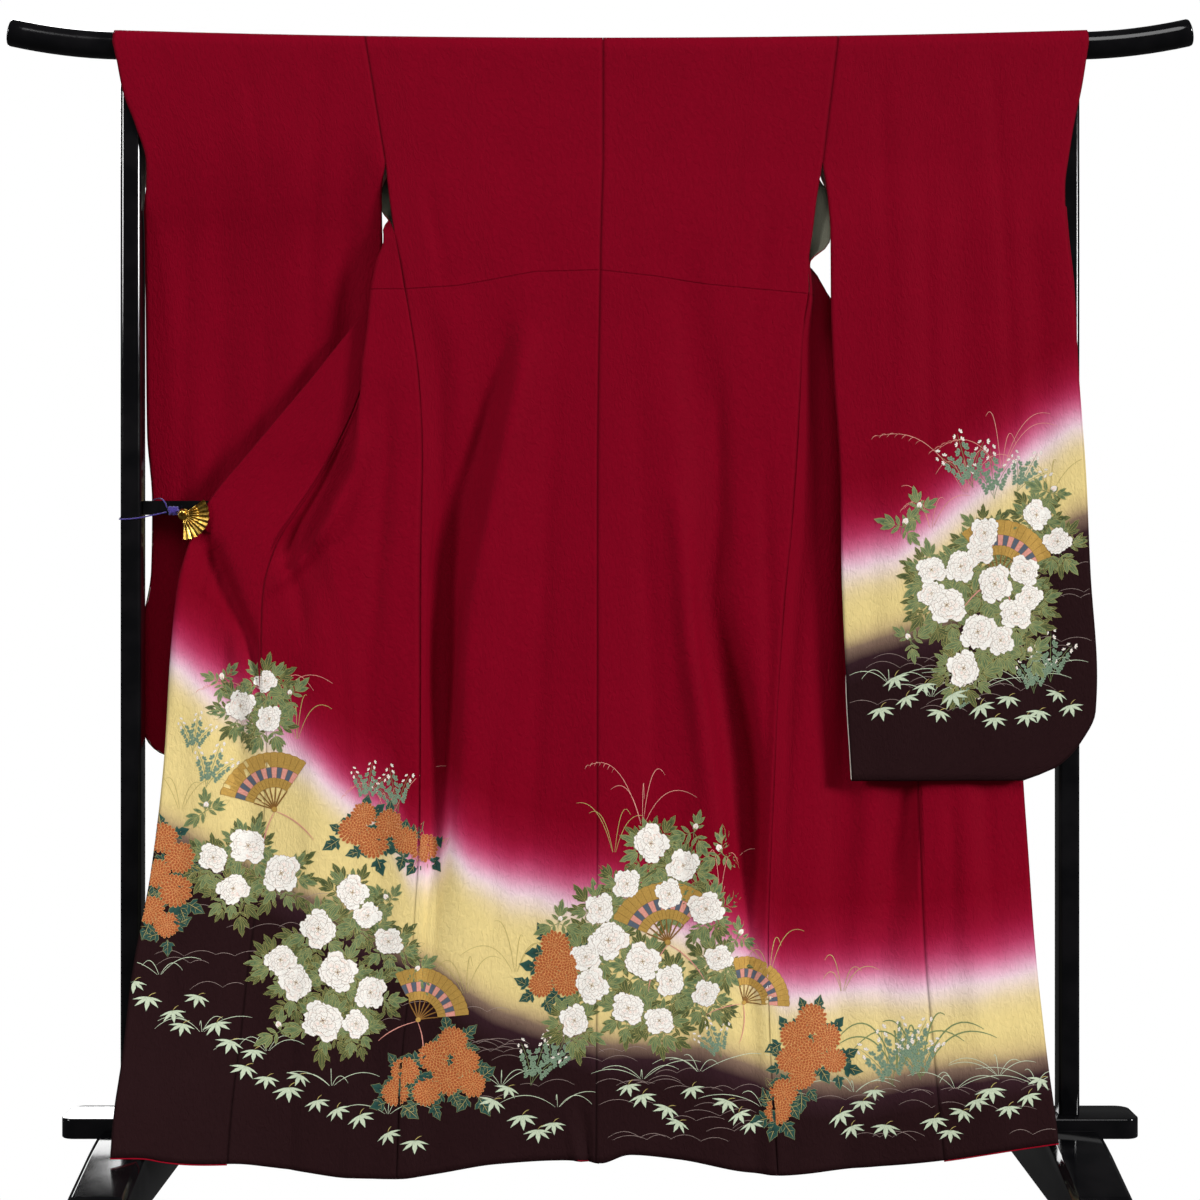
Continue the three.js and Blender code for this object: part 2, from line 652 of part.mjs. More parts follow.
// A plan outline with rounded corners, extruded upwards.
function roundedBlock([x0, x1], [y0, y1], [z0, z1], radius) {
  const shape = new THREE.Shape();
  const corners = [[x1, y0, -90], [x1, y1, 0], [x0, y1, 90], [x0, y0, 180]];
  for (const [x, y, start] of corners) {
    const cx = x + (x === x1 ? -radius : radius);
    const cy = y + (y === y1 ? -radius : radius);
    shape.absarc(cx, cy, radius, radians(start), radians(start + 90), false);
  }
  const solid = new THREE.ExtrudeGeometry(shape, { depth: z1 - z0, bevelEnabled: false, curveSegments: 5 });
  return solid.translate(0, 0, z0);
}

function barGeometry(radius) {
  const along = steps(28).map((t) => {
    const x = mix(-stand.barHalfLength, stand.barHalfLength, t);
    return new THREE.Vector3(x, 0, barZ(x));
  });
  const section = 16;
  const positions = [];
  const index = [];
  along.forEach((p) => {
    for (let k = 0; k < section; k += 1) {
      const angle = (2 * Math.PI * k) / section;
      positions.push(p.x, p.y + radius * Math.cos(angle), p.z + radius * Math.sin(angle));
    }
  });
  const ends = [along[0], along[along.length - 1]];
  ends.forEach((p) => positions.push(p.x, p.y, p.z));
  const first = along.length * section;
  for (let r = 0; r < along.length - 1; r += 1) {
    for (let k = 0; k < section; k += 1) {
      const a = r * section + k;
      const b = r * section + ((k + 1) % section);
      index.push(a, b, b + section, a, b + section, a + section);
    }
  }
  for (let k = 0; k < section; k += 1) {
    const next = (k + 1) % section;
    const last = (along.length - 1) * section;
    index.push(first, next, k, first + 1, last + k, last + next);
  }
  const geometry = new THREE.BufferGeometry();
  geometry.setAttribute('position', new THREE.Float32BufferAttribute(positions, 3));
  geometry.setIndex(index);
  return geometry;
}

function post(sign) {
  const x = sign * stand.postX;
  const w = stand.postWidth / 2;
  const d = stand.postDepth / 2;
  const blank = roundedBlock([x - w, x + w], [-d, d], [stand.bottomRail.high + seamGap, barZ(x)], 6);
  return cut(blank, barGeometry(stand.barRadius + seamGap));
}

function midRail() {
  const { low, high, depth } = stand.midRail;
  const reach = stand.postX - stand.postWidth / 2 - seamGap;
  return boxAt([-reach, reach], [-depth / 2, depth / 2], [low, high]);
}

function bottomRail(grow = 0) {
  const { low, high, depth, halfLength, corner } = stand.bottomRail;
  const d = depth / 2 + grow;
  return roundedBlock([-halfLength - grow, halfLength + grow], [-d, d], [low - grow, high + grow], corner);
}

// A foot lies front to back, flat below, its top falling to both ends, its edges bevelled.
function foot(sign) {
  const { width, top, end, halfLength, flat, bevel } = stand.foot;
  const profile = new THREE.Shape();
  profile.moveTo(-halfLength, 0);
  profile.lineTo(halfLength, 0);
  profile.lineTo(halfLength, end - 12);
  profile.lineTo(halfLength - 10, end);
  const fall = (t) => mix(end, top, t * (1.12 - 0.12 * t ** 3));
  for (const t of steps(6).slice(1)) profile.lineTo(mix(halfLength - 10, flat, t), fall(t));
  for (const t of steps(6).reverse()) profile.lineTo(-mix(halfLength - 10, flat, t), fall(t));
  profile.lineTo(-halfLength, end - 12);
  const blank = new THREE.ExtrudeGeometry(profile, {
    depth: width - 2 * bevel,
    bevelEnabled: true,
    bevelThickness: bevel,
    bevelSize: bevel,
    bevelOffset: -bevel,
    bevelSegments: 1,
  });
  blank.translate(0, 0, -(width - 2 * bevel) / 2);
  blank.rotateX(Math.PI / 2);
  blank.rotateZ(Math.PI / 2);
  blank.translate(sign * stand.postX, 0, 0);
  return cut(blank, bottomRail(seamGap));
}

// ---- fan clip ----

const clip = {
  pivot: new THREE.Vector3(-595, -27.7, 979),
  radius: 36,
  inner: 7,
  from: 38,
  to: -92,
  pleats: 10,
  pleatDepth: 1.1,
  thick: 1.2,
  backY: -18.6, // front face of the jaw behind the cloth
};

function fanClip() {
  const { pivot, radius, pleats } = clip;
  const rows = [clip.inner, radius * 0.55, radius].map((r) => steps(pleats * 2).map((t, k) => {
    const angle = radians(mix(clip.from, clip.to, t));
    const y = pivot.y + (k % 2 ? -1 : 1) * clip.pleatDepth * (r / radius);
    return new THREE.Vector3(pivot.x + r * Math.cos(angle), y, pivot.z + r * Math.sin(angle));
  }));
  const leaf = clothWall(rows, { thickness: clip.thick });
  const hub = new THREE.CylinderGeometry(8.5, 8.5, 3, 16).rotateX(Math.PI / 2);
  hub.translate(pivot.x, pivot.y, pivot.z);
  const knob = new THREE.SphereGeometry(5.5, 10, 6);
  knob.translate(pivot.x - 2, pivot.y - 2.5, pivot.z + 3);
  const heel = pivot.x - 7;
  const bridge = boxAt([heel, heel + 5], [pivot.y, clip.backY], [pivot.z - 4, pivot.z + 5]);
  const jaw = boxAt([heel, heel + 40], [clip.backY, clip.backY + clip.thick], [pivot.z - 7, pivot.z + 5]);
  return join(leaf, hub, knob, bridge, jaw);
}

function knot() {
  const ball = new THREE.SphereGeometry(1, 12, 8);
  ball.scale(9, 5.5, 6);
  const loop = new THREE.TorusGeometry(6, 2.2, 6, 12);
  loop.rotateX(Math.PI / 2.6);
  const place = [-611.4, -20.5, 985];
  ball.translate(...place);
  loop.translate(place[0] + 1, place[1] - 1, place[2] + 2);
  return join(ball, loop);
}

// The cord goes from the knot across the post, round behind it, and back over the rail.
const cordRadius = 0.9;
const cordRoute = [
  [-622, -21, 983], [-640, -21, 979], [-660, -20.6, 975], [-680, -20.6, 973], [-688.6, -18.9, 973],
  [-690.8, -11, 974], [-690.8, 11, 981], [-688.6, 18.9, 984], [-680, 20.6, 987], [-664, 20.9, 994],
  [-651.4, 19.6, 999], [-647.4, 14, 1001.6], [-640, 5, 1003.5], [-632.5, -6, 1003],
  [-629, -12, 1001.5], [-624, -16.5, 996], [-621.5, -19, 989.5],
].map((p) => new THREE.Vector3(...p));

function cordTube() {
  const section = new THREE.Shape();
  section.absarc(0, 0, cordRadius, 0, 2 * Math.PI, false);
  const path = new THREE.CatmullRomCurve3(cordRoute);
  return new THREE.ExtrudeGeometry(section, { steps: 34, extrudePath: path, curveSegments: 4 });
}

// ---- the scene ----

const furisode = new THREE.Group();

function addPiece(name, geometry, hex, roughness, metalness = 0) {
  const look = { color: hex, roughness, metalness, side: THREE.DoubleSide };
  const material = new THREE.MeshStandardMaterial(look);
  const mesh = new THREE.Mesh(geometry, material);
  mesh.name = name;
  furisode.add(mesh);
}

for (const name of ['left', 'right']) {
  addPiece(`body_${name}`, bodyPanel(name), colour.crimson, 0.8);
  addPiece(`okumi_${name}`, okumiPanel(name), colour.crimson, 0.8);
  addPiece(`sleeve_${name}`, sleevePiece(name), colour.crimson, 0.8);
}
addPiece('collar', collarPiece(), colour.crimson, 0.8);
addPiece('top_bar', barGeometry(stand.barRadius), colour.lacquer, 0.15);
addPiece('mid_rail', midRail(), colour.lacquer, 0.15);
addPiece('bottom_rail', bottomRail(), colour.lacquer, 0.15);
for (const [name, sign] of [['left', -1], ['right', 1]]) {
  addPiece(`post_${name}`, post(sign), colour.lacquer, 0.15);
  addPiece(`foot_${name}`, foot(sign), colour.lacquer, 0.15);
}
addPiece('fan_clip', fanClip(), colour.gilt, 0.35, 1);
addPiece('clip_knot', knot(), colour.violet, 0.7);
addPiece('clip_cord', cordTube(), colour.violet, 0.7);

export default furisode;
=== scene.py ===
import math
import random

import bmesh
import bpy
import numpy as np
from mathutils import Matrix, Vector, noise
from mathutils.bvhtree import BVHTree


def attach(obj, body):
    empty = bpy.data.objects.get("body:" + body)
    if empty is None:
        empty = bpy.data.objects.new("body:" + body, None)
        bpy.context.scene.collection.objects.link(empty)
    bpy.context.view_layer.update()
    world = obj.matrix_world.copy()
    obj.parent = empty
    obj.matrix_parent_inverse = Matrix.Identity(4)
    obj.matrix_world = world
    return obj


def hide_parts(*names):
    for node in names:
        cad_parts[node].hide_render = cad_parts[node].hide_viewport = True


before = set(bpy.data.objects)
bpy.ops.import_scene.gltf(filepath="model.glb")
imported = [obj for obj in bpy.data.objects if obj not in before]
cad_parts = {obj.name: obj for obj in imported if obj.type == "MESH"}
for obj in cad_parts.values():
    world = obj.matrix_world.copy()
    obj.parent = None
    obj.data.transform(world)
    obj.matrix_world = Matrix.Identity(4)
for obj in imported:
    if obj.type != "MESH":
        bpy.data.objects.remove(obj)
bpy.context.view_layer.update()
mm = 0.001
scene = bpy.context.scene
scene.view_settings.view_transform = "Standard"
print("frame loaded")

# The camera stands level behind the garment's back.
view = {"place": (0.0, -3.230, 0.857), "lens": 67.14, "sensor": 36.0}
cameraData = bpy.data.cameras.new("camera")
cameraData.lens = view["lens"]
cameraData.sensor_width = view["sensor"]
camera = bpy.data.objects.new("camera", cameraData)
camera.location = view["place"]
camera.rotation_euler = (math.radians(90), 0, 0)
scene.collection.objects.link(camera)
scene.camera = camera


def addObject(name, mesh, materials=()):
    piece = bpy.data.objects.new(name, mesh)
    scene.collection.objects.link(piece)
    for material in materials:
        mesh.materials.append(material)
    return piece


def meshFrom(name, points, faces, smooth=True):
    mesh = bpy.data.meshes.new(name)
    mesh.from_pydata([tuple(p) for p in np.asarray(points, float) * mm], [], faces)
    if smooth:
        mesh.shade_smooth()
    return mesh


def finish(piece, *modifiers):
    # Applies modifiers given as (kind, settings) and leaves a plain mesh.
    for kind, settings in modifiers:
        modifier = piece.modifiers.new(kind.lower(), kind)
        for key, value in settings.items():
            setattr(modifier, key, value)
    bpy.context.view_layer.update()
    shaped = bpy.data.meshes.new_from_object(piece.evaluated_get(bpy.context.evaluated_depsgraph_get()))
    piece.modifiers.clear()
    piece.data = shaped
    return piece


def tubeMesh(name, path, radius, sides=12, closed=False):
    # A round tube along a path of points in millimetres, with closed ends.
    path = np.array(path, float)
    count = len(path)
    ahead = np.roll(path, -1, 0) - np.roll(path, 1, 0)
    if not closed:
        ahead[0], ahead[-1] = path[1] - path[0], path[-1] - path[-2]
    ahead /= np.linalg.norm(ahead, axis=1)[:, None]
    side = np.cross(ahead[0], [0.3, 0.2, 0.93])
    points = []
    for i in range(count):
        side = side - ahead[i] * np.dot(side, ahead[i])
        side /= np.linalg.norm(side)
        up = np.cross(ahead[i], side)
        width = radius[i] if np.ndim(radius) else radius
        for k in range(sides):
            turn = 2 * math.pi * k / sides
            points.append(path[i] + width * (side * math.cos(turn) + up * math.sin(turn)))
    faces = []
    for i in range(count if closed else count - 1):
        for k in range(sides):
            a, b = i * sides + k, i * sides + (k + 1) % sides
            c, d = ((i + 1) % count) * sides + (k + 1) % sides, ((i + 1) % count) * sides + k
            faces.append((a, b, c, d))
    if not closed:
        faces.append(tuple(range(sides))[::-1])
        faces.append(tuple((count - 1) * sides + k for k in range(sides)))
    return meshFrom(name, points, faces)


def smoothPath(points, times):
    # Points along a Catmull-Rom curve through the given ones.
    p = np.array(points, float)
    p = np.vstack([2 * p[0] - p[1], p, 2 * p[-1] - p[-2]])
    out = []
    for i in range(1, len(p) - 2):
        for t in np.arange(times) / times:
            out.append(0.5 * (2 * p[i] + (p[i + 1] - p[i - 1]) * t
                              + (2 * p[i - 1] - 5 * p[i] + 4 * p[i + 1] - p[i + 2]) * t ** 2
                              + (3 * p[i] - p[i - 1] - 3 * p[i + 1] + p[i + 2]) * t ** 3))
    return np.array(out + [p[-2]])


# The clip's cord, tied round the post.
clipCord = {
    "radius": 0.9,
    "route": [
        (-622, -21, 983), (-640, -21, 979), (-660, -20.6, 975), (-680, -20.6, 973), (-688.6, -18.9, 973),
        (-690.8, -11, 974), (-690.8, 11, 981), (-688.6, 18.9, 984), (-680, 20.6, 987), (-664, 20.9, 994),
        (-651.4, 19.6, 999), (-647.4, 14, 1001.6), (-640, 5, 1003.5), (-632.5, -6, 1003),
        (-629, -12, 1001.5), (-624, -16.5, 996), (-621.5, -19, 989.5),
    ],
}
cordPath = smoothPath(clipCord["route"], 5)
cordPiece = addObject("tie_cord", tubeMesh("tie_cord", cordPath, clipCord["radius"], 10))


def column(heights, values):
    # One column of a table as a smooth function of height.
    z, v = np.array(heights, float)[::-1], np.array(values, float)[::-1]
    step = np.diff(v) / np.diff(z)
    slope = np.zeros(len(z))
    both = step[1:] * step[:-1]
    total = np.where(both > 0, step[1:] + step[:-1], 1)
    slope[1:-1] = np.where(both > 0, 2 * both / total, 0)
    slope[0], slope[-1] = step[0], step[-1]

    def at(height):
        h = np.clip(height, z[0], z[-1])
        i = np.clip(np.searchsorted(z, h, side="right") - 1, 0, len(z) - 2)
        span = z[i + 1] - z[i]
        t = (h - z[i]) / span
        a = v[i] * (1 + 2 * t) * (1 - t) ** 2 + v[i + 1] * t * t * (3 - 2 * t)
        return a + slope[i] * span * t * (1 - t) ** 2 + slope[i + 1] * span * t * t * (t - 1)
    return at


def columns(names, rows):
    names = names.split()
    heights = [row[0] for row in rows]
    return {name: column(heights, [row[i] for row in rows]) for i, name in enumerate(names) if i}


def mix(a, b, t):
    return a + (b - a) * t


def smooth(x, low, high):
    t = np.clip((x - low) / (high - low), 0, 1)
    return t * t * (3 - 2 * t)


def softFolds(rows):
    return [(width, columns("z x depth", path)) for width, path in rows]


def foldSum(folds, x, z):
    total = 0 * (x + z)
    for width, path in folds:
        total = total + path["depth"](z) * np.exp(-(((x - path["x"](z)) / width) ** 2))
    return total


# Sizes of the stand, which the cloth hangs over.
stand = {"barRadius": 19.5, "barHalf": 851, "barHeight": 1646, "barRise": 11, "tipRise": 14, "tipFrom": 700}
drape = stand["barRadius"] + 1 + 0.8  # middle of the cloth over the bar
halfGap = 0.15  # half of the gap between two sewn pieces


def barZ(x):
    past = np.maximum(0, np.abs(x) - stand["tipFrom"]) / (stand["barHalf"] - stand["tipFrom"])
    return stand["barHeight"] + stand["barRise"] * (x / stand["tipFrom"]) ** 2 + stand["tipRise"] * past ** 2


# The back's tables: heights first, in millimetres.
shoulder = {"z": 1668, "left": -338, "right": 342}
armhole = {"z": 1483, "left": -307, "right": 318.5, "near": -29.6, "far": 19}
signOf = {"left": -1, "right": 1}
back = columns("z y centre", [
    (1483, armhole["near"], 4), (1379, -37, 1), (1000, -46, -4), (600, -52, -4), (300, -58, -5),
    (30, -66, -6),
])
side = {
    "left": columns("z x", [
        (1483, armhole["left"]), (1440, -302), (1379, -293), (1332, -283), (1290, -276), (1167, -258),
        (1059, -253), (948, -255), (700, -256), (528, -256), (419, -263), (309, -271), (200, -281),
        (30, -288),
    ]),
    "right": columns("z x", [
        (1483, armhole["right"]), (1427, 309), (1379, 303), (1340, 298), (1300, 299), (1243, 290),
        (1086, 281), (944, 271), (857, 262), (596, 247), (340, 238), (150, 244), (30, 252),
    ]),
}
hemRows = [
    (-680, 89), (-632, 84.5), (-600, 76), (-560, 70), (-514, 66), (-420, 49), (-350, 39), (-288, 38),
    (-150, 59), (-40, 65), (0, 61), (42, 73), (110, 66), (252, 43), (330, 50), (479, 69), (560, 85),
    (645, 100),
]
hemColumn = column([-x for x, _ in hemRows], [z for _, z in hemRows])
backFolds = softFolds([
    (26, [(1330, -140, 0), (1140, -172, 9), (1000, -196, 14), (857, -220, 17), (640, -232, 22),
          (530, -243, 24), (360, -250, 10), (60, -248, 4)]),
    (34, [(1350, -100, 0), (1220, -102, -5), (1000, -135, -9), (857, -156, -12), (700, -182, -12),
          (568, -200, -10), (300, -190, -3), (60, -180, -2)]),
    (26, [(1360, 120, 0), (1270, 126, 5), (1010, 150, 9), (857, 163, 12), (690, 191, 18), (480, 215, 22),
          (370, 224, 18), (140, 230, 7)]),
    (34, [(1350, 70, 0), (1140, 100, -4), (910, 122, -8), (700, 148, -10), (500, 160, -9), (300, 170, -5),
          (60, 175, -2)]),
    (60, [(1380, 20, 0), (1100, 18, -5), (700, 8, -8), (400, 10, -7), (60, 20, -4)]),
])

# Each front's sections: a start at the side, three legs with two turns between, and the free edge.
sectionNames = "z sideX sideY head1 leg1 head2 leg2 head3 edgeX edgeY okumi"
front = {
    "left": columns(sectionNames, [
        (1616, -334, 21, 0, 60, 0, 90, 0, -88, 21, 3), (1560, -321, 20.5, 0, 50, 0, 70, 0, -118, 20, 3),
        (1483, armhole["left"], armhole["far"], 2, 30, 0, 60, 0, -168, 14, 3),
        (1440, -317, 0, 6, 16, 0, 50, 0, -202, 2, 3), (1420, -316, -3, 8, 14, 0, 46, 0, -218, -5, 3),
        (1408, -308, -16, 60, 13, 0, 44, 4, -227, -10, 3),
        (1395, -298, -34, 130, 13, 0, 42, 10, -236, -15, 3),
        (1379, -293, -37, 176, 12, 0, 42, 30, -247, -18, 3),
        (1340, -285, -38, 180, 30, 0, 38, 110, -282, -17, 4),
        (1300, -278, -39, 180, 45, 0, 46, 178, -313, -19, 8),
        (1277, -273, -40, 180, 52, 0, 50, 180, -332, -21, 20),
        (1230, -265, -41, 180, 65, 0, 50, 180, -370, -22, 46),
        (1170, -258, -43, 180, 80, 0, 46, 180, -418, -23, 80),
        (1110, -254, -44, 180, 88, 2, 34, 180, -469, -23, 108),
        (1066, -253, -45, 180, 86, 10, 14, 180, -506, -23, 123),
        (1040, -253, -45, 180, 90, 55, 6, 180, -528, -23, 131),
        (1000, -254, -46, 180, 104, 110, 6, 180, -560, -23, 138),
        (945, -255, -47, 180, 130, 145, 8, 180, -586, -24, 128),
        (880, -256, -48, 180, 120, 170, 20, 180, -604, -28, 125),
        (780, -256, -50, 180, 100, 180, 40, 180, -613, -34, 131),
        (638, -256, -52, 180, 90, 180, 50, 180, -620, -44, 146),
        (478, -259, -54, 180, 80, 180, 60, 180, -635, -62, 152),
        (319, -270, -58, 180, 75, 180, 60, 180, -659, -88, 160),
        (218, -280, -60, 180, 70, 180, 60, 180, -666, -113, 160),
        (150, -285, -63, 180, 70, 180, 55, 180, -672, -136, 162),
        (30, -288, -66, 180, 70, 180, 55, 180, -677, -158, 163),
    ]),
    "right": columns(sectionNames, [
        (1616, 338, 21, 180, 60, 180, 90, 180, 88, 21, 3),
        (1560, 326, 20.5, 180, 50, 180, 70, 180, 118, 20, 3),
        (1483, armhole["right"], armhole["far"], 178, 30, 180, 55, 180, 168, 14, 3),
        (1468, 316, 5, 176, 20, 178, 50, 179, 180, 9, 3),
        (1440, 328, -15, 172, 16, 176, 48, 178, 202, 2, 3),
        (1412, 329, -25, 166, 16, 170, 44, 174, 224, -3, 3),
        (1379, 330, -34, 162, 18, 162, 34, 170, 248, 3, 3),
        (1364, 326, -37, 150, 18, 158, 24, 165, 266, 4, 3),
        (1350, 310, -39, 112, 17, 130, 12, 120, 286, 5, 3),
        (1340, 298, -39, 84, 16, 96, 6, 80, 301, 6, 4), (1300, 299, -41, 70, 12, 48, 8, 30, 330, 4, 8),
        (1277, 296, -42, 62, 12, 32, 12, 18, 349, 2, 20),
        (1230, 288, -42, 58, 12, 10, 22, 0, 385, -3, 46),
        (1143, 284, -43, 52, 16, 0, 36, 0, 448, -12, 92),
        (1066, 280, -44, 50, 18, 0, 50, 0, 505, -17, 118),
        (971, 273, -46, 50, 20, 0, 60, 0, 566, -21, 125),
        (857, 262, -48, 45, 20, 0, 60, 0, 588, -23, 132),
        (700, 251, -50, 40, 20, 0, 60, 0, 600, -26, 142),
        (600, 247, -52, 35, 20, 0, 60, 0, 605, -31, 150),
        (500, 242, -54, 28, 20, 0, 60, 0, 610, -42, 153),
        (370, 238, -56, 20, 20, 0, 60, 0, 616, -60, 156),
        (218, 241, -60, 5, 20, 0, 60, 0, 628, -86, 158),
        (120, 248, -63, 0, 20, 0, 60, 0, 638, -106, 161),
        (30, 252, -66, 0, 20, 0, 60, 0, 646, -118, 162),
    ]),
}
frontFolds = {
    "left": softFolds([
        (24, [(960, -575, 0), (900, -560, 9), (760, -540, 15), (620, -515, 13), (480, -500, 6),
              (60, -500, 2)]),
        (30, [(900, -400, 0), (760, -395, -7), (560, -400, -9), (300, -410, -5), (60, -420, -2)]),
        (30, [(860, -320, 0), (640, -318, 8), (420, -322, 10), (200, -330, 6), (60, -330, 2)]),
    ]),
    "right": softFolds([
        (28, [(1150, 360, 0), (900, 360, 10), (600, 352, 16), (400, 345, 12), (60, 345, 3)]),
        (26, [(900, 430, 0), (620, 425, 9), (480, 416, 16), (370, 400, 12), (200, 395, 5), (60, 395, 2)]),
        (34, [(700, 525, 0), (600, 525, -2), (450, 530, -9), (200, 545, -6), (60, 550, -2)]),
    ]),
}
sleeveNames = "z inX outX nearIn nearOut farX farIn farOut"
sleeve = {
    "left": columns(sleeveNames, [
        (1668, -338, -699, -21.3, -21.3, -699, 21.3, 21.3),
        (1632, -333, -693, -21.6, -21.8, -694, 21.3, 21.8),
        (1583, -324, -683, -24, -22.5, -690, 20.5, 22.5),
        (1538, -316, -666, -27, -22.5, -688, 19.8, 23),
        (1483, armhole["left"], -651, armhole["near"], -22, -680, armhole["far"], 23),
        (1450, -312, -652, -24, -16, -657, 20, 24), (1434, -313, -654.5, -20, -12, -654.5, 19, 19),
        (1418, -313, -655.5, -17, -7, -656, 18, 4), (1380, -313, -655.5, -10, -2, -656.5, 14, 8),
        (1332, -313, -655.5, -4, 2, -656.5, 12, 12), (1200, -315, -655.5, 6, 8, -656.5, 18, 18),
        (1100, -317, -655, 11, 12, -656, 23, 22), (1002, -320, -650, 14, 22, -650, 26, 32),
        (900, -322, -652, 14, 25, -652, 26, 35), (800, -324, -668, 13, 25, -668, 25, 35),
        (720, -326, -670, 12, 25, -670, 24, 35), (680, -326, -668, 12, 25, -668, 24, 35),
        (650, -327, -656, 12, 24, -656, 24, 34), (636, -327, -640, 12, 23, -640, 24, 33),
        (628, -327, -618, 12, 20, -618, 24, 30),
    ]),
    "right": columns(sleeveNames, [
        (1668, 342, 701, -21.3, -21.3, 701, 21.3, 21.3), (1632, 337, 697, -21.6, -22, 698, 21.3, 21.8),
        (1600, 332.5, 692, -23, -23, 680, 20.8, 23), (1575, 329, 687, -24, -24, 656, 20, 23),
        (1550, 325.5, 681, -26, -25, 644, 19.6, 15),
        (1483, armhole["right"], 669, armhole["near"], -30, 640, armhole["far"], -8),
        (1450, 323, 664, -34, -35, 648, 2, -22), (1418, 326, 663, -39, -40, 663, -10, -29),
        (1383, 328, 665, -44, -44, 665, -24, -33), (1302, 328, 673, -48, -46, 673, -34, -35),
        (1193, 331, 678, -51, -48, 678, -39, -37), (1031, 341, 689, -53, -50, 689, -41, -39),
        (894, 343, 695, -54, -51, 695, -42, -40), (749, 349, 704, -55, -52, 704, -43, -41),
        (699, 351, 702, -55, -52, 702, -43, -41), (654, 354, 680, -55, -52, 680, -43, -41),
        (621, 356, 647, -55, -52, 647, -43, -42), (603, 357, 601, -55, -53, 601, -43, -43),
    ]),
}
sleeveHeights = {
    "left": [1629, 1580, 1530, 1483, 1458, 1434, 1418, 1380, 1332, 1266, 1200, 1100, 1002, 900, 800,
             720, 680, 664, 650, 642, 636, 631, 628],
    "right": [1629, 1600, 1575, 1550, 1515, 1483, 1450, 1418, 1383, 1302, 1193, 1110, 1031, 894, 749,
              699, 676, 654, 636, 621, 611, 603],
}
sleeveFolds = {
    "left": softFolds([
        (22, [(1600, -350, 0), (1400, -358, 7), (1200, -362, 9), (1100, -372, 4), (900, -380, 2),
              (628, -380, 0)]),
        (30, [(1560, -440, 0), (1400, -446, -4), (1100, -450, -3), (628, -450, -1)]),
        (24, [(1600, -540, 0), (1300, -546, 5), (1000, -550, 6), (628, -550, 3)]),
    ]),
    "right": softFolds([
        (28, [(1560, 420, 0), (1300, 424, -4), (1000, 428, -3), (603, 432, -2)]),
        (26, [(1560, 520, 0), (1300, 516, 4), (1000, 520, 2), (603, 524, 1)]),
        (26, [(1500, 622, 0), (1300, 628, 6), (1000, 634, 6), (603, 630, 2)]),
    ]),
}
print("tables read")


def hemAt(x):
    return hemColumn(-x)  # the column's places run downwards


def armholeX(name, z):
    return mix(shoulder[name], armhole[name], (shoulder["z"] - z) / (shoulder["z"] - armhole["z"]))


def downArmhole(z):
    return np.clip((stand["barHeight"] - z) / (stand["barHeight"] - armhole["z"]), 0, 1)


backLook = {"columns": 28, "hemRows": 34, "levelFrom": 1379, "overBar": 13,
            "upper": [1400, 1430, 1456, 1483, 1530, 1580, 1629]}


def backGrid(name):
    # Hem to bar on the back, over the bar to its far side; columns run from the side to the centre.
    gap = signOf[name] * halfGap
    shares = np.linspace(1, 0, backLook["columns"])

    def across(z, s):
        sewn = z >= armhole["z"]
        edge = np.where(sewn, armholeX(name, z) - gap, side[name]["x"](z))
        return mix(back["centre"](z) + gap, edge, s)
    rows = []
    low = hemAt(across(60.0, shares))
    lower = [mix(low, backLook["levelFrom"], t) for t in np.linspace(0, 1, backLook["hemRows"])]
    for z in lower + backLook["upper"]:
        z = z + 0 * shares
        x = across(z, shares)
        edge = np.where(x < 0, x - side["left"]["x"](z), side["right"]["x"](z) - x)
        y = back["y"](z) + smooth(edge, 2, 30) * foldSum(backFolds, x, z)
        y = np.where(z >= armhole["z"], mix(-drape, armhole["near"], downArmhole(z)), y)
        rows.append(np.stack([x, y, z], 1))
    for angle in np.linspace(math.pi, 0, backLook["overBar"]):
        rise = drape * math.sin(angle)
        x = across(barZ(shoulder[name] * shares) + rise, shares)
        rows.append(np.stack([x, drape * math.cos(angle) + 0 * x, barZ(x) + rise], 1))
    return np.array(rows)


# Steps along a front's legs, turns, last leg and okumi, with a turn's length in millimetres.
legCount, turnCount, endCount, okumiCount, turnLength = 4, 5, 9, 7, 12.6


def section(name, z):
    # One front's horizontal section at height z: points of the body panel, then of the okumi.
    row = {key: float(value(z)) for key, value in front[name].items()}
    sewn = z >= armhole["z"]
    x = float(armholeX(name, z)) - signOf[name] * halfGap if sewn else row["sideX"]
    y = mix(drape, armhole["far"], float(downArmhole(z))) if sewn else row["sideY"]
    heads = [row["head1"], row["head2"], row["head3"]]
    points = [(x, y)]
    for k in (0, 1):
        moves = [(heads[k], row[f"leg{k + 1}"] / legCount)] * legCount
        moves += [(mix(heads[k], heads[k + 1], (i + 0.5) / turnCount), turnLength / turnCount)
                  for i in range(turnCount)]
        for head, length in moves:
            x += length * math.cos(math.radians(head))
            y += length * math.sin(math.radians(head))
            points.append((x, y))
    edge = np.array([row["edgeX"], row["edgeY"]])
    here = np.array([x, y])
    length = np.linalg.norm(edge - here)
    seam = length - min(row["okumi"], length - 4)
    body = points + [tuple(here + (edge - here) * (seam - halfGap) * t / length)
                     for t in np.linspace(0, 1, endCount + 1)[1:]]
    okumi = [tuple(here + (edge - here) * mix(seam + halfGap, length, t) / length)
             for t in np.linspace(0, 1, okumiCount + 1)]
    return np.array(body), np.array(okumi), row


def sectionPoint(name, piece, i, z):
    parts = section(name, z)
    x, y = parts[piece][i]
    row = parts[2]
    fade = smooth(abs(x - row["sideX"]), 4, 30) * smooth(abs(x - row["edgeX"]), 0, 40)
    return x, y + float(foldSum(frontFolds[name], x, z)) * fade, z


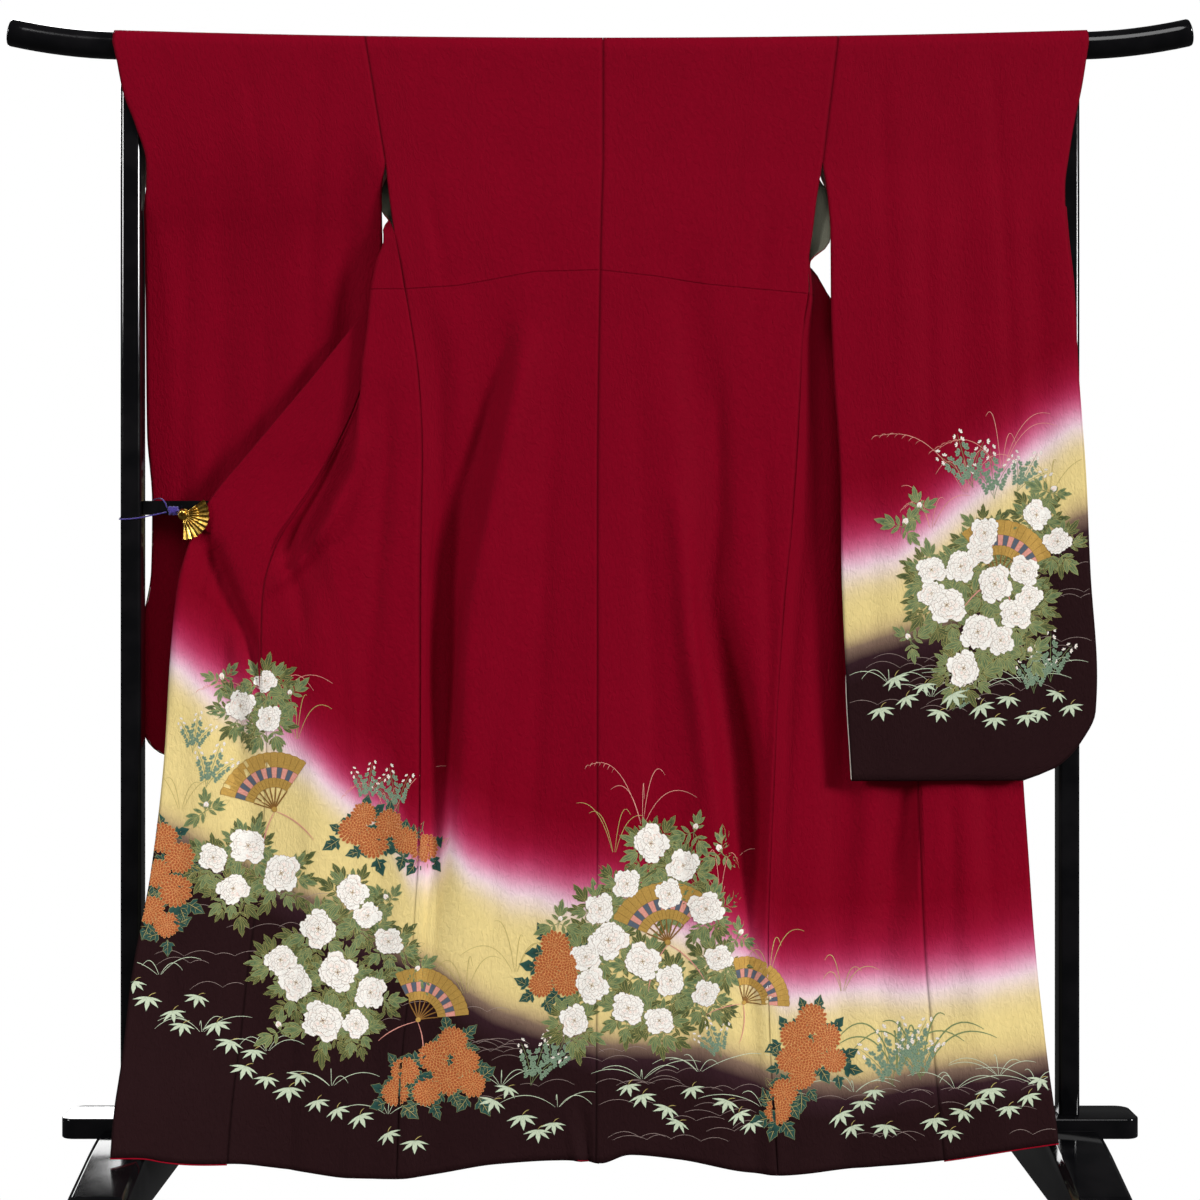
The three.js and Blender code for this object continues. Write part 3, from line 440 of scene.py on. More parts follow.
frontLevels = [1616, 1580, 1530, 1500, 1483, 1468, 1455, 1442, 1430, 1420, 1410, 1402, 1394, 1386, 1379,
               1368, 1358, 1347, 1336, 1326, 1316, 1308, 1300, 1288]
okumiTop = frontLevels[-1]
frontLook = {"middle": 450, "lowRows": 37, "neckHalf": 84, "neckRows": 6, "centreShift": 1.2}


def frontRows(name, piece, levels):
    rows = []
    count = (2 * (legCount + turnCount) + endCount if piece == 0 else okumiCount) + 1
    for z in levels:
        rows.append([sectionPoint(name, piece, i, z) for i in range(count)])
    for t in np.linspace(0, 1, frontLook["lowRows"])[1:]:
        rough = section(name, mix(okumiTop, float(hemAt(signOf[name] * frontLook["middle"])), t))[piece]
        rows.append([sectionPoint(name, piece, i, mix(okumiTop, float(hemAt(rough[i][0])), t))
                     for i in range(count)])
    return np.array(rows)


def frontGrid(name):
    # From the far side of the bar round the neck and down to the front hem.
    rows = frontRows(name, 0, frontLevels)
    below = rows[0]
    share = np.linspace(0, 1, len(below))
    centre = back["centre"](shoulder["z"]) + signOf[name] * frontLook["centreShift"]
    neck = []
    for t in np.linspace(0, 1, frontLook["neckRows"] + 1)[:-1]:
        z = mix(barZ(below[:, 0]), frontLevels[0], t)
        inner = mix(centre, signOf[name] * frontLook["neckHalf"], math.sqrt(t))
        x = mix(armholeX(name, z) - signOf[name] * halfGap, inner, share)
        x = np.where(share > 0, mix(x, below[:, 0], t * t), x)
        neck.append(np.stack([x, drape + 0 * x, z], 1))
    return np.concatenate([np.array(neck), rows])


def refine(grid, spacing):
    # A finer grid through the same points, with no overshoot between them.
    for axis in (0, 1):
        p = np.moveaxis(grid, axis, 0)
        chord = np.maximum(np.linalg.norm(np.diff(p, axis=0), axis=2), 1e-4)[..., None]
        step = np.diff(p, axis=0) / chord
        slope = np.zeros_like(p)
        both = step[1:] * step[:-1]
        weight = np.where(both > 0, step[1:] + step[:-1], 1)
        slope[1:-1] = np.where(both > 0, 2 * both / weight, 0)
        slope[0], slope[-1] = step[0], step[-1]
        out = []
        for i, mean in enumerate(chord.mean(axis=(1, 2))):
            parts = max(1, int(round(mean / spacing[axis])))
            for t in np.arange(parts) / parts:
                a = p[i] * (1 + 2 * t) * (1 - t) ** 2 + p[i + 1] * t * t * (3 - 2 * t)
                out.append(a + chord[i] * (slope[i] * t * (1 - t) ** 2 + slope[i + 1] * t * t * (t - 1)))
        out.append(p[-1])
        grid = np.moveaxis(np.array(out), 0, axis)
    return grid


def gridNormals(grid):
    across = np.gradient(grid, axis=1)
    along = np.gradient(grid, axis=0)
    normal = np.cross(across, along)
    return normal / np.maximum(np.linalg.norm(normal, axis=2), 1e-9)[..., None]


def gridLengths(grid):
    u = np.concatenate([[0], np.cumsum(np.linalg.norm(np.diff(grid, axis=1), axis=2).mean(axis=0))])
    v = np.concatenate([[0], np.cumsum(np.linalg.norm(np.diff(grid, axis=0), axis=2).mean(axis=1))])
    return np.stack(np.meshgrid(u, v), 2)


# Where the dyed bands lie, in millimetres: across, then the pale line's and the brown edge's heights.
dyeBands = {
    "body": [
        (-680, 785, 560), (-608, 766, 520), (-582, 745, 508), (-554, 722, 492), (-525, 700, 476),
        (-484, 672, 455), (-410, 612, 424), (-383, 585, 408), (-354, 558, 390), (-297, 528, 356),
        (-270, 470, 342), (-245, 462, 326), (-213, 500, 302), (-185, 470, 284), (-154, 454, 270),
        (-128, 440, 260), (-85, 432, 246), (-43, 421, 234), (0, 424, 222), (60, 405, 214), (142, 372, 208),
        (190, 350, 188), (213, 338, 180), (256, 296, 168), (295, 294, 158), (367, 303, 160),
        (452, 303, 178), (541, 317, 190), (646, 338, 204),
    ],
    "right": [
        (330, 894, 765), (345, 898, 770), (420, 910, 792), (485, 960, 815), (550, 1010, 860),
        (615, 1066, 910), (672, 1102, 958), (705, 1112, 972),
    ],
    "left": [
        (-705, 1080, 930), (-640, 1040, 900), (-560, 985, 850), (-470, 930, 810), (-400, 900, 790),
        (-320, 890, 780),
    ],
}


def dyeHeights(kind, x, z):
    rows = dyeBands[kind]
    places = [row[0] for row in rows]
    pale = np.interp(x, places, [row[1] for row in rows])
    brown = np.interp(x, places, [row[2] for row in rows])
    return z - pale, z - brown


# The sewn tuck on the back. Cloth nearer than tuckBefore is the back, and all other cloth is far from it.
tuckRows = [(-276, 1300), (-200, 1305), (-146, 1315), (-91, 1325), (0, 1327), (81, 1318), (158, 1306),
            (310, 1292)]
tuckBefore, farAway, plainHeight = -24, 500, 400


def clothPiece(name, grids, dye, outside, materials, thickness=1.6):
    # One mesh of one or more grids with their outer sides out, thickened, with its lining behind.
    bm = bmesh.new()
    layer = bm.loops.layers.uv.new("UVMap")
    pale = bm.verts.layers.float.new("abovePale")
    brown = bm.verts.layers.float.new("aboveBrown")
    tuck = bm.verts.layers.float.new("fromTuck")
    seam = bm.verts.layers.float.new("fromSeam")
    for grid, flip in zip(grids, outside):
        lengths = gridLengths(grid)
        x, z = grid[..., 0], grid[..., 2]
        abovePale, aboveBrown = dyeHeights(dye, x, z) if dye else (z, z)
        if dye == "left" and grid is grids[0]:
            nearRows = np.arange(len(grid))[:, None] < len(grid) // 2
            abovePale = np.where(nearRows, plainHeight, abovePale)
            aboveBrown = np.where(nearRows, plainHeight, aboveBrown)
        onBack = (grid[..., 1] < tuckBefore) & (dye == "body")
        fromTuck = np.where(onBack, z - np.interp(x, *zip(*tuckRows)), farAway)
        rows, cols = grid.shape[:2]
        fromSeam = np.minimum(lengths[..., 0], lengths[:, -1:, 0] - lengths[..., 0])
        verts = []
        for r in range(rows):
            for c in range(cols):
                vert = bm.verts.new(grid[r, c] * mm)
                vert[pale], vert[brown], vert[tuck] = abovePale[r, c], aboveBrown[r, c], fromTuck[r, c]
                vert[seam] = fromSeam[r, c]
                verts.append(vert)
        for r in range(rows - 1):
            for c in range(cols - 1):
                corners = [(r, c), (r, c + 1), (r + 1, c + 1), (r + 1, c)]
                if flip:
                    corners = corners[::-1]
                face = bm.faces.new([verts[a * cols + b] for a, b in corners])
                for loop, (a, b) in zip(face.loops, corners):
                    loop[layer].uv = tuple(lengths[a, b] * mm)
    bmesh.ops.remove_doubles(bm, verts=bm.verts, dist=0.02 * mm)
    if len(grids) > 1:
        bm.faces.ensure_lookup_table()
        first = bm.faces[0].normal.copy()
        bmesh.ops.recalc_face_normals(bm, faces=bm.faces)
        if bm.faces[0].normal.dot(first) < 0:
            bmesh.ops.reverse_faces(bm, faces=bm.faces)
    mesh = bpy.data.meshes.new(name)
    bm.to_mesh(mesh)
    bm.free()
    mesh.shade_smooth()
    piece = addObject(name, mesh, materials)
    return finish(piece, ("SOLIDIFY", {
        "thickness": thickness * mm, "offset": 0.0, "material_offset": 1, "material_offset_rim": 0,
        "use_rim": True, "use_even_offset": False,
    }))


# Shader groups: the crepe grain and the dyed bands.
def group(name, inputs, outputs):
    tree = bpy.data.node_groups.new(name, "ShaderNodeTree")
    for label, kind, default in inputs:
        socket = tree.interface.new_socket(label, in_out="INPUT", socket_type=kind)
        if default is not None:
            socket.default_value = default
    for label, kind in outputs:
        tree.interface.new_socket(label, in_out="OUTPUT", socket_type=kind)
    return tree, tree.nodes.new("NodeGroupInput"), tree.nodes.new("NodeGroupOutput")


def node(tree, kind, settings=None, **links):
    # A node with its settings, and its inputs given as values or as other nodes' outputs.
    made = tree.nodes.new(kind)
    for key, value in (settings or {}).items():
        setattr(made, key, value)
    for key, value in links.items():
        numbered = key[0] == "i" and key[1:].isdigit()
        socket = made.inputs[int(key[1:]) if numbered else key.replace("_", " ")]
        if isinstance(value, bpy.types.NodeSocket):
            tree.links.new(value, socket)
        else:
            socket.default_value = value
    return made


def ramp(tree, factor, stops, kind="EASE"):
    made = node(tree, "ShaderNodeValToRGB", None, Fac=factor)
    made.color_ramp.interpolation = kind
    elements = made.color_ramp.elements
    while len(elements) < len(stops):
        elements.new(0.5)
    for element, (place, colour) in zip(elements, stops):
        element.position = place
        element.color = colour
    return made


def linear(r, g, b, a=1.0):
    # A screen colour, 0 to 255, as the shaders' linear one.
    lit = [(c / 255) / 12.92 if c <= 10 else ((c / 255 + 0.055) / 1.055) ** 2.4 for c in (r, g, b)]
    return (*lit, a)


def mathNode(tree, operation, a, b=0.0):
    return node(tree, "ShaderNodeMath", {"operation": operation}, i0=a, i1=b).outputs[0]


def ranged(tree, value, low, high, toLow=0.0, toHigh=1.0, settings=None):
    return node(tree, "ShaderNodeMapRange", settings, Value=value, From_Min=low, From_Max=high, To_Min=toLow,
                To_Max=toHigh).outputs[0]


def multiplied(tree, colour, shade):
    return node(tree, "ShaderNodeMix", {"data_type": "RGBA", "blend_type": "MULTIPLY"}, i0=1.0, i6=colour,
                i7=shade).outputs[2]


def emboss(tree, shader, height, strength, distance):
    bump = node(tree, "ShaderNodeBump", None, Strength=strength, Distance=distance, Height=height)
    tree.links.new(bump.outputs[0], shader.inputs["Normal"])


def crepeGroup():
    # Chirimen crepe: small uneven grain, longer down the cloth than across it.
    tree, inputs, outputs = group("crepe grain", [
        ("Vector", "NodeSocketVector", None), ("Scale", "NodeSocketFloat", 250.0),
    ], [("Height", "NodeSocketFloat"), ("Mottle", "NodeSocketFloat")])
    stretched = node(tree, "ShaderNodeMapping", None, Vector=inputs.outputs["Vector"],
                     Scale=(1.0, 0.42, 1.0))
    fine = node(tree, "ShaderNodeTexNoise", {"noise_dimensions": "2D"}, Vector=stretched.outputs[0],
                Scale=inputs.outputs["Scale"], Detail=2.0, Roughness=0.6, Distortion=0.6)
    broad = node(tree, "ShaderNodeTexNoise", {"noise_dimensions": "2D"}, Vector=stretched.outputs[0],
                 Scale=34.0, Detail=3.0, Roughness=0.65)
    tree.links.new(fine.outputs[0], outputs.inputs["Height"])
    spread = mathNode(tree, "ADD", mathNode(tree, "MULTIPLY", fine.outputs[0], 0.55),
                      mathNode(tree, "MULTIPLY", broad.outputs[0], 0.45))
    tree.links.new(spread, outputs.inputs["Mottle"])
    return tree


crimson, gold, deepBrown = linear(125, 1, 27), linear(232, 209, 140), linear(38, 19, 21)
crepe = crepeGroup()


def dyeGroup():
    # Crimson, a blurred pale line, gold and brown, one below the other.
    tree, inputs, outputs = group("dyed bands", [
        ("Above Pale", "NodeSocketFloat", 500.0), ("Above Brown", "NodeSocketFloat", 500.0),
        ("Mottle", "NodeSocketFloat", 0.5), ("Vector", "NodeSocketVector", None),
    ], [("Color", "NodeSocketColor")])
    cloud = node(tree, "ShaderNodeTexNoise", {"noise_dimensions": "2D"}, Vector=inputs.outputs["Vector"],
                 Scale=9.0, Detail=3.0, Roughness=0.45)
    drift = mathNode(tree, "MULTIPLY", mathNode(tree, "SUBTRACT", cloud.outputs[0], 0.5), 22.0)
    pale = ranged(tree, mathNode(tree, "ADD", inputs.outputs["Above Pale"], drift), -60.0, 130.0)
    upper = ramp(tree, pale, [
        (0.0, gold), (0.17, linear(228, 206, 148)), (0.3, linear(240, 220, 222)),
        (0.37, linear(232, 182, 204)), (0.46, linear(206, 98, 138)), (0.57, linear(172, 34, 76)),
        (0.72, linear(142, 9, 40)), (0.95, crimson),
    ], "B_SPLINE")
    brown = ranged(tree, mathNode(tree, "ADD", inputs.outputs["Above Brown"], drift), -40.0, 60.0)
    lower = ramp(tree, brown, [
        (0.0, deepBrown), (0.3, linear(52, 30, 36)), (0.52, linear(98, 68, 76, 0.85)),
        (0.72, linear(170, 140, 110, 0.35)), (0.95, linear(216, 190, 120, 0.0)),
    ], "LINEAR")
    both = node(tree, "ShaderNodeMix", {"data_type": "RGBA"}, i0=lower.outputs[1], i6=upper.outputs[0],
                i7=lower.outputs[0])
    lit = multiplied(tree, both.outputs[2], ranged(tree, inputs.outputs["Mottle"], 0.25, 0.75, 0.92, 1.07))
    tree.links.new(lit, outputs.inputs["Color"])
    return tree


dye = dyeGroup()


def newMaterial(name, **values):
    material = bpy.data.materials.new(name)
    material.use_nodes = True
    tree = material.node_tree
    shader = tree.nodes["Principled BSDF"]
    for key, value in values.items():
        shader.inputs[key.replace("_", " ")].default_value = value
    return material, tree, shader


def silkMaterial(name, dyed=True, plain=None):
    material, tree, shader = newMaterial(name, Roughness=0.72, Sheen_Weight=0.015, Sheen_Roughness=0.4,
                                         Sheen_Tint=(1.0, 0.4, 0.45, 1.0), Specular_IOR_Level=0.035)
    uv = node(tree, "ShaderNodeUVMap", {"uv_map": "UVMap"}).outputs[0]
    grain = node(tree, "ShaderNodeGroup", {"node_tree": crepe}, Vector=uv, Scale=250.0)
    if dyed:
        names = ["abovePale", "aboveBrown", "fromTuck", "fromSeam"]
        pale, brown, tuck, seam = [
            node(tree, "ShaderNodeAttribute", {"attribute_name": n}).outputs["Fac"] for n in names]
        bands = node(tree, "ShaderNodeGroup", {"node_tree": dye}, Above_Pale=pale, Above_Brown=brown,
                     Mottle=grain.outputs["Mottle"], Vector=uv)
        soft = {"interpolation_type": "SMOOTHSTEP"}
        # Near the seams and the tuck the bump dips into a groove, and the colour is darkened by up to a
        # fifth as painted shade of that groove.
        tuckGrooveShade = ranged(tree, mathNode(tree, "ABSOLUTE", tuck), 0.2, 1.8, settings=soft)
        seamGrooveShade = ranged(tree, seam, 0.2, 2.2, settings=soft)
        edge = mathNode(tree, "MULTIPLY", tuckGrooveShade, seamGrooveShade)
        colour = multiplied(tree, bands.outputs[0], ranged(tree, edge, 0.0, 1.0, 0.8, 1.0))
        height = mathNode(tree, "ADD", grain.outputs["Height"], mathNode(tree, "MULTIPLY", edge, 0.6))
    else:
        colour = multiplied(tree, plain, ranged(tree, grain.outputs["Mottle"], 0.25, 0.75, 0.88, 1.08))
        height = grain.outputs["Height"]
    tree.links.new(colour, shader.inputs["Base Color"])
    emboss(tree, shader, height, 0.8, 0.0016)
    return material


outerSilk = silkMaterial("crimson crepe silk")
# The body lining is white silk, given a dark grey-green here as painted shade, the shade it lies in inside
# the slits.
shadedBodyLining = silkMaterial("body lining in painted shade", False, linear(112, 112, 98))
sleeveLining = silkMaterial("cream sleeve lining", False, linear(236, 226, 216))
redLining = silkMaterial("red hem lining", False, linear(150, 8, 32))


def lacquerMaterial():
    material, tree, shader = newMaterial("black lacquer", Roughness=0.12, Coat_Weight=0.3,
                                         Coat_Roughness=0.06, Specular_IOR_Level=0.4)
    place = node(tree, "ShaderNodeTexCoord").outputs["Object"]
    film = node(tree, "ShaderNodeTexNoise", None, Vector=place, Scale=22.0, Detail=4.0)
    dust = node(tree, "ShaderNodeTexNoise", None, Vector=place, Scale=900.0, Detail=1.0)
    tint = ramp(tree, film.outputs[0], [(0.35, linear(9, 9, 11)), (0.7, linear(17, 16, 18))])
    tree.links.new(tint.outputs[0], shader.inputs["Base Color"])
    tree.links.new(ranged(tree, film.outputs[0], 0.3, 0.7, 0.08, 0.17), shader.inputs["Roughness"])
    emboss(tree, shader, dust.outputs[0], 0.03, 0.0005)
    return material


lacquer = lacquerMaterial()


def giltMaterial():
    material, tree, shader = newMaterial("gilt metal", Metallic=1.0, Roughness=0.3)
    place = node(tree, "ShaderNodeTexCoord").outputs["Object"]
    tarnish = node(tree, "ShaderNodeTexNoise", None, Vector=place, Scale=260.0, Detail=4.0)
    tint = ramp(tree, tarnish.outputs[0], [(0.3, linear(150, 108, 36)), (0.6, linear(222, 184, 92))])
    tree.links.new(tint.outputs[0], shader.inputs["Base Color"])
    tree.links.new(ranged(tree, tarnish.outputs[0], 0.0, 1.0, 0.4, 0.22), shader.inputs["Roughness"])
    return material


gilt = giltMaterial()


def cordMaterial():
    material, tree, shader = newMaterial("violet silk cord", Roughness=0.6, Sheen_Weight=0.5)
    place = node(tree, "ShaderNodeTexCoord").outputs["Object"]
    twist = node(tree, "ShaderNodeTexWave", {"bands_direction": "DIAGONAL"}, Vector=place, Scale=420.0)
    tint = ramp(tree, twist.outputs[1], [(0.2, linear(34, 14, 96)), (0.8, linear(72, 40, 178))])
    tree.links.new(tint.outputs[0], shader.inputs["Base Color"])
    emboss(tree, shader, twist.outputs[1], 0.6, 0.0006)
    return material


violet = cordMaterial()
cordPiece.data.materials.append(violet)
print("materials made")

# Smaller creases than the tables hold: half width, then height, place and depth down each one.
creases = {
    "body_left": [
        (11, [(1460, -250, 0), (1400, -238, 2.5), (1330, -226, 1.5), (1250, -214, 0)]),
        (14, [(1250, -60, 0), (1050, -72, 2.5), (800, -84, 3), (520, -96, 2), (300, -100, 0)]),
        (9, [(700, -150, 0), (560, -158, 2.4), (420, -150, 1.2), (330, -146, 0)]),
        (8, [(160, -30, 0), (110, -22, 4), (60, -12, 7), (40, -10, 7)]),
        (7, [(150, -48, 0), (90, -38, -3), (60, -28, -5), (40, -24, -5)]),
        (21, [(1300, -252, 0), (1180, -232, 7), (1000, -224, 11), (800, -224, 12), (640, -226, 8),
              (500, -228, 3), (400, -228, 0)]),
        (15, [(1270, -128, 0), (1216, -139, 5), (1080, -178, 9), (940, -214, 6), (860, -228, 0)]),
        (15, [(1250, -100, 0), (1182, -111, -6), (1000, -148, -9), (803, -187, -7), (640, -202, 0)]),
        (13, [(1190, -342, 0), (1127, -366, 7), (1044, -400, 9), (955, -442, 7), (900, -462, 0)]),
        (11, [(1120, -336, 0), (1059, -345, -8), (1000, -366, -10), (941, -397, -10), (885, -452, -6),
              (862, -476, 0)]),
        (13, [(1180, -300, 0), (1060, -306, 5), (900, -318, 6), (760, -330, 3), (600, -340, 0)]),
        (12, [(980, -440, 0), (930, -446, 5), (860, -430, 4), (780, -415, 0)]),
    ],
    "body_right": [
        (12, [(1450, 250, 0), (1380, 236, 2), (1290, 224, 1.5), (1200, 214, 0)]),
        (15, [(1220, 160, 0), (1085, 168, 6), (940, 170, 6), (860, 160, 0)]),
        (26, [(980, 132, 0), (837, 152, 8), (720, 180, 13), (631, 196, 14), (540, 205, 11), (460, 210, 6),
              (380, 212, 0)]),
        (24, [(720, 458, 0), (610, 450, 9), (520, 440, 9), (430, 420, 5), (350, 402, 0)]),
        (14, [(1040, 102, 0), (940, 116, -6), (800, 128, -8), (650, 148, -6), (520, 160, 0)]),
        (14, [(1240, 50, 0), (1000, 60, 2), (760, 72, 3), (560, 78, 1.5), (380, 80, 0)]),
        (10, [(1100, 232, 0), (960, 236, 3), (800, 240, 4), (620, 236, 2), (500, 232, 0)]),
        (9, [(600, 110, 0), (470, 118, 1.8), (330, 120, 1), (200, 122, 0)]),
    ],
    "okumi_left": [
        (16, [(985, -585, 0), (941, -568, 8), (850, -527, 13), (755, -484, 10), (690, -464, 4),
              (640, -456, 0)]),
        (12, [(960, -596, 0), (880, -602, -5), (780, -606, -5), (650, -612, 0)]),
        (14, [(700, -590, 0), (560, -592, 2.5), (400, -600, 3), (240, -612, 1.5), (120, -616, 0)]),
        (9, [(940, -560, 0), (900, -566, 3), (840, -575, 2), (790, -580, 0)]),
    ],
    "okumi_right": [
        (14, [(900, 545, 0), (700, 548, 3), (500, 552, 4), (300, 560, 2), (150, 566, 0)]),
        (11, [(620, 500, 0), (520, 502, 3), (400, 500, 2), (300, 500, 0)]),
    ],
    "sleeve_left": [
        (12, [(1640, -400, 0), (1560, -404, 2.2), (1420, -412, 3), (1240, -418, 2), (1060, -420, 0)]),
        (10, [(1650, -520, 0), (1580, -500, 2), (1500, -488, 1.4), (1420, -480, 0)]),
        (15, [(1500, -596, 0), (1350, -600, 3), (1100, -604, 4), (900, -606, 2), (760, -606, 0)]),
        (9, [(1300, -480, 0), (1200, -484, 1.6), (1050, -486, 2), (930, -488, 0)]),
    ],
    "sleeve_right": [
        (12, [(1640, 400, 0), (1540, 404, 2.4), (1380, 410, 2.6), (1200, 414, 1.6), (1040, 416, 0)]),
        (11, [(1650, 560, 0), (1560, 566, 2.2), (1400, 574, 3), (1180, 584, 3), (900, 590, 1),
              (760, 592, 0)]),
        (10, [(1500, 470, 0), (1350, 466, 1.8), (1150, 468, 2.4), (980, 470, 1.5), (820, 472, 0)]),
        (14, [(1100, 380, 0), (960, 384, 3), (820, 386, 3), (700, 388, 0)]),
    ],
}


crumpled = {"deepen": 1.25, "waves": [(0.006, 0.0022, 3.1, 1.5), (0.022, 0.006, 7.7, 0.7)]}


def crumple(grid, name, amount=1.0, rim=9.0):
    # The grid's normals, and how deep its smaller creases and faint unevenness go, less at the sewn edges.
    x, z = grid[..., 0], grid[..., 2]
    depth = crumpled["deepen"] * foldSum(softFolds(creases[name]), x, z)
    for perX, perZ, seed, height in crumpled["waves"]:
        depth = depth + amount * height * np.array([
            [noise.noise(Vector((a * perX, b * perZ, len(name) * seed))) for a, b in zip(xs, zs)]
            for xs, zs in zip(x, z)])
    u = gridLengths(grid)[..., 0]
    return gridNormals(grid), depth * smooth(u, 0, rim) * smooth(u[:, -1:] - u, 0, rim)


pieces = {}
trims = {}  # what is sewn or dyed on each piece
allowance = {"behind": 1.25, "across": (-5.0, -1.5, 1.5, 5.0), "thick": 0.5}
hemEdge = {"radius": 1.1, "sides": 8, "inward": 0.5, "back": -1.2, "front": -0.9, "okumi": 1.1}


def seamStrip(name, owner, line, normals, across, flip):
    # The turned-in allowance behind a seam, from the edge's points.
    grid = np.stack([line - normals * allowance["behind"] + across * shift
                     for shift in allowance["across"]], 1)
    strip = clothPiece(name, [grid], "body", [flip], (outerSilk, shadedBodyLining), allowance["thick"])
    trims.setdefault(owner, []).append(strip)


def hemRoll(name, owner, line, drop):
    # The padded edge of the red lining, rolled out under the hem.
    route = line + np.array([0, hemEdge["inward"], -drop])
    roll = addObject(name, tubeMesh(name, route, hemEdge["radius"], hemEdge["sides"]), (redLining,))
    trims.setdefault(owner, []).append(roll)


sideTop = {"left": 1376, "right": 1336}
sideBack = {"step": 9.0, "from": 31, "reach": 3.5, "behind": (1.5, 1.1), "thick": 0.8}
spacing = (9.0, 4.2)  # down and across the cloth
bodyLook = {"creasesEnd": 1640, "edgesApart": 0.3}


def bodyPiece(name):
    label = f"body_{name}"
    grid = np.concatenate([backGrid(name), frontGrid(name)[1:]])
    grid = refine(grid, spacing)
    normals, depth = crumple(grid, label)
    outward = 1 if name == "left" else -1  # columns run from the side, rows from the back hem
    depth = depth * smooth(bodyLook["creasesEnd"] - grid[..., 2], 0, 60)
    grid = grid - outward * normals * depth[..., None]
    outer = outward * normals
    across = np.gradient(grid, axis=1)
    across /= np.linalg.norm(across, axis=2)[..., None]
    top = int(np.argmax(grid[:, -1, 2]))
    rows = np.arange(len(grid))
    sideEdge = (rows[:, None] > top) & (grid[..., 2] < sideTop[name]) & (np.arange(grid.shape[1]) == 0)
    grid[..., 0] += signOf[name] * bodyLook["edgesApart"] * sideEdge
    low = np.where((rows > top) & (grid[:, -1, 2] < okumiTop))[0]
    sewn = np.where(grid[:, 0, 2] > armhole["z"])[0]
    sewnLines = [(f"seam_okumi_{name}", low, -1), (f"seam_armhole_{name}", sewn, 0)]
    if name == "left":
        sewnLines.append(("seam_centre", np.arange(top + 4), -1))
    for seam, part, edge in sewnLines:
        seamStrip(seam, label, grid[part, edge], outer[part, edge], across[part, edge], outward < 0)
    hemRoll(f"fuki_back_{name}", label, grid[0], hemEdge["back"])
    hemRoll(f"fuki_front_{name}", label, grid[-1], hemEdge["front"])
    sides = [(grid[part, 0], across[part, 0], outer[part, 0])
             for part in (slice(0, top), slice(top + 1, None))]
    sideStrip(name, label, *sides)
    return clothPiece(label + "_cloth", [grid], "body", [outward < 0], (outerSilk, shadedBodyLining))


def sideStrip(name, owner, behind, before):
    # Backs the side seam below the slit: each edge as rows of place, way into its cloth and outer normal.
    heights = np.arange(sideBack["from"], sideTop[name], sideBack["step"])
    reach, (deep, shallow) = sideBack["reach"], sideBack["behind"]
    ends = []
    for rows in (behind, [part[::-1] for part in before]):
        ends.append([np.stack([np.interp(heights, rows[0][:, 2], part[:, k]) for k in (0, 1, 2)], 1)
                     for part in rows])
    (b, toB, outB), (f, toF, outF) = ends
    grid = np.stack([b + toB * reach - outB * deep, b - outB * shallow,
                     f - outF * shallow, f + toF * reach - outF * deep], 1)
    trims[owner].append(clothPiece(f"seam_side_{name}", [grid], "body", [name == "left"],
                                   (outerSilk, shadedBodyLining), sideBack["thick"]))


def okumiPiece(name):
    label = f"okumi_{name}"
    grid = refine(frontRows(name, 1, [okumiTop]), spacing)
    normals, depth = crumple(grid, label, 0.7)
    outward = -1 if name == "left" else 1
    grid = grid + outward * normals * depth[..., None]
    hemRoll(f"fuki_okumi_{name}", label, grid[-1], hemEdge["okumi"])
    return clothPiece(label + "_cloth", [grid], "body", [outward > 0], (outerSilk, shadedBodyLining))


# A sleeve's columns and free edge, the far layer's setback from the side, and the soft bend under the left
# armhole.
sleeveLook = {"columns": 65, "overBar": 15, "setback": 7, "setbackFrom": (735, 800), "setbackTo": (10, 60),
              "closedTo": 1418.01, "edgeRows": 7, "bulge": {"left": 0.1, "right": 0.22}, "farCrease": 0.7,
              "rim": 0.2, "wave": (0.02, 0.005, 5, 9)}
bend = {"from": (1380, 1430), "to": (0, 50), "top": 1590, "share": (0, 0.12), "steps": (-60, 61, 12),
        "highest": 1650}


def sleevePoints(name, near, z, s):
    row = sleeve[name]
    sewn = z >= armhole["z"]
    inner = np.where(sewn, armholeX(name, z) + signOf[name] * halfGap, row["inX"](z))
    x = mix(inner, row["outX" if near else "farX"](z), s)
    ends = (-drape, armhole["near"]) if near else (drape, armhole["far"])
    sewnY = mix(*ends, downArmhole(z))
    if not near:
        share = smooth(z, *sleeveLook["setbackFrom"]) * smooth(armhole["z"] - z, *sleeveLook["setbackTo"])
        x = x + signOf[name] * (1 - s) * sleeveLook["setback"] * share
    innerY = np.where(sewn, sewnY, row["nearIn" if near else "farIn"](z))
    outerY = row["nearOut" if near else "farOut"](z)
    if near and name == "left" and bend["from"][0] < z < bend["top"]:
        steps = [min(z + shift, bend["highest"]) for shift in range(*bend["steps"])]
        inner = [mix(*ends, downArmhole(at)) if at >= armhole["z"] else row["nearIn"](at) for at in steps]
        share = smooth(s, *bend["share"]) * smooth(z, *bend["from"]) * smooth(bend["top"] - z, *bend["to"])
        innerY = mix(innerY, float(np.mean(inner)), share)
        outerY = mix(outerY, float(np.mean([row["nearOut"](at) for at in steps])), share)
    rim = sleeveLook["rim"]
    fade = smooth(s, 0, rim) * smooth(1 - s, 0, rim)
    y = mix(innerY, outerY, s ** 2) + foldSum(sleeveFolds[name], x, z) * fade
    crease = foldSum(softFolds(creases[f"sleeve_{name}"]), x, z)
    y = y + crease * fade * (1 if near else sleeveLook["farCrease"])
    z = z + 0 * x
    perX, perZ, nearSeed, farSeed = sleeveLook["wave"]
    seed = nearSeed if near else farSeed
    wave = np.array([noise.noise(Vector((a * perX, b * perZ, seed))) for a, b in zip(x, z)])
    return np.stack([x, y + wave * fade, z], -1)


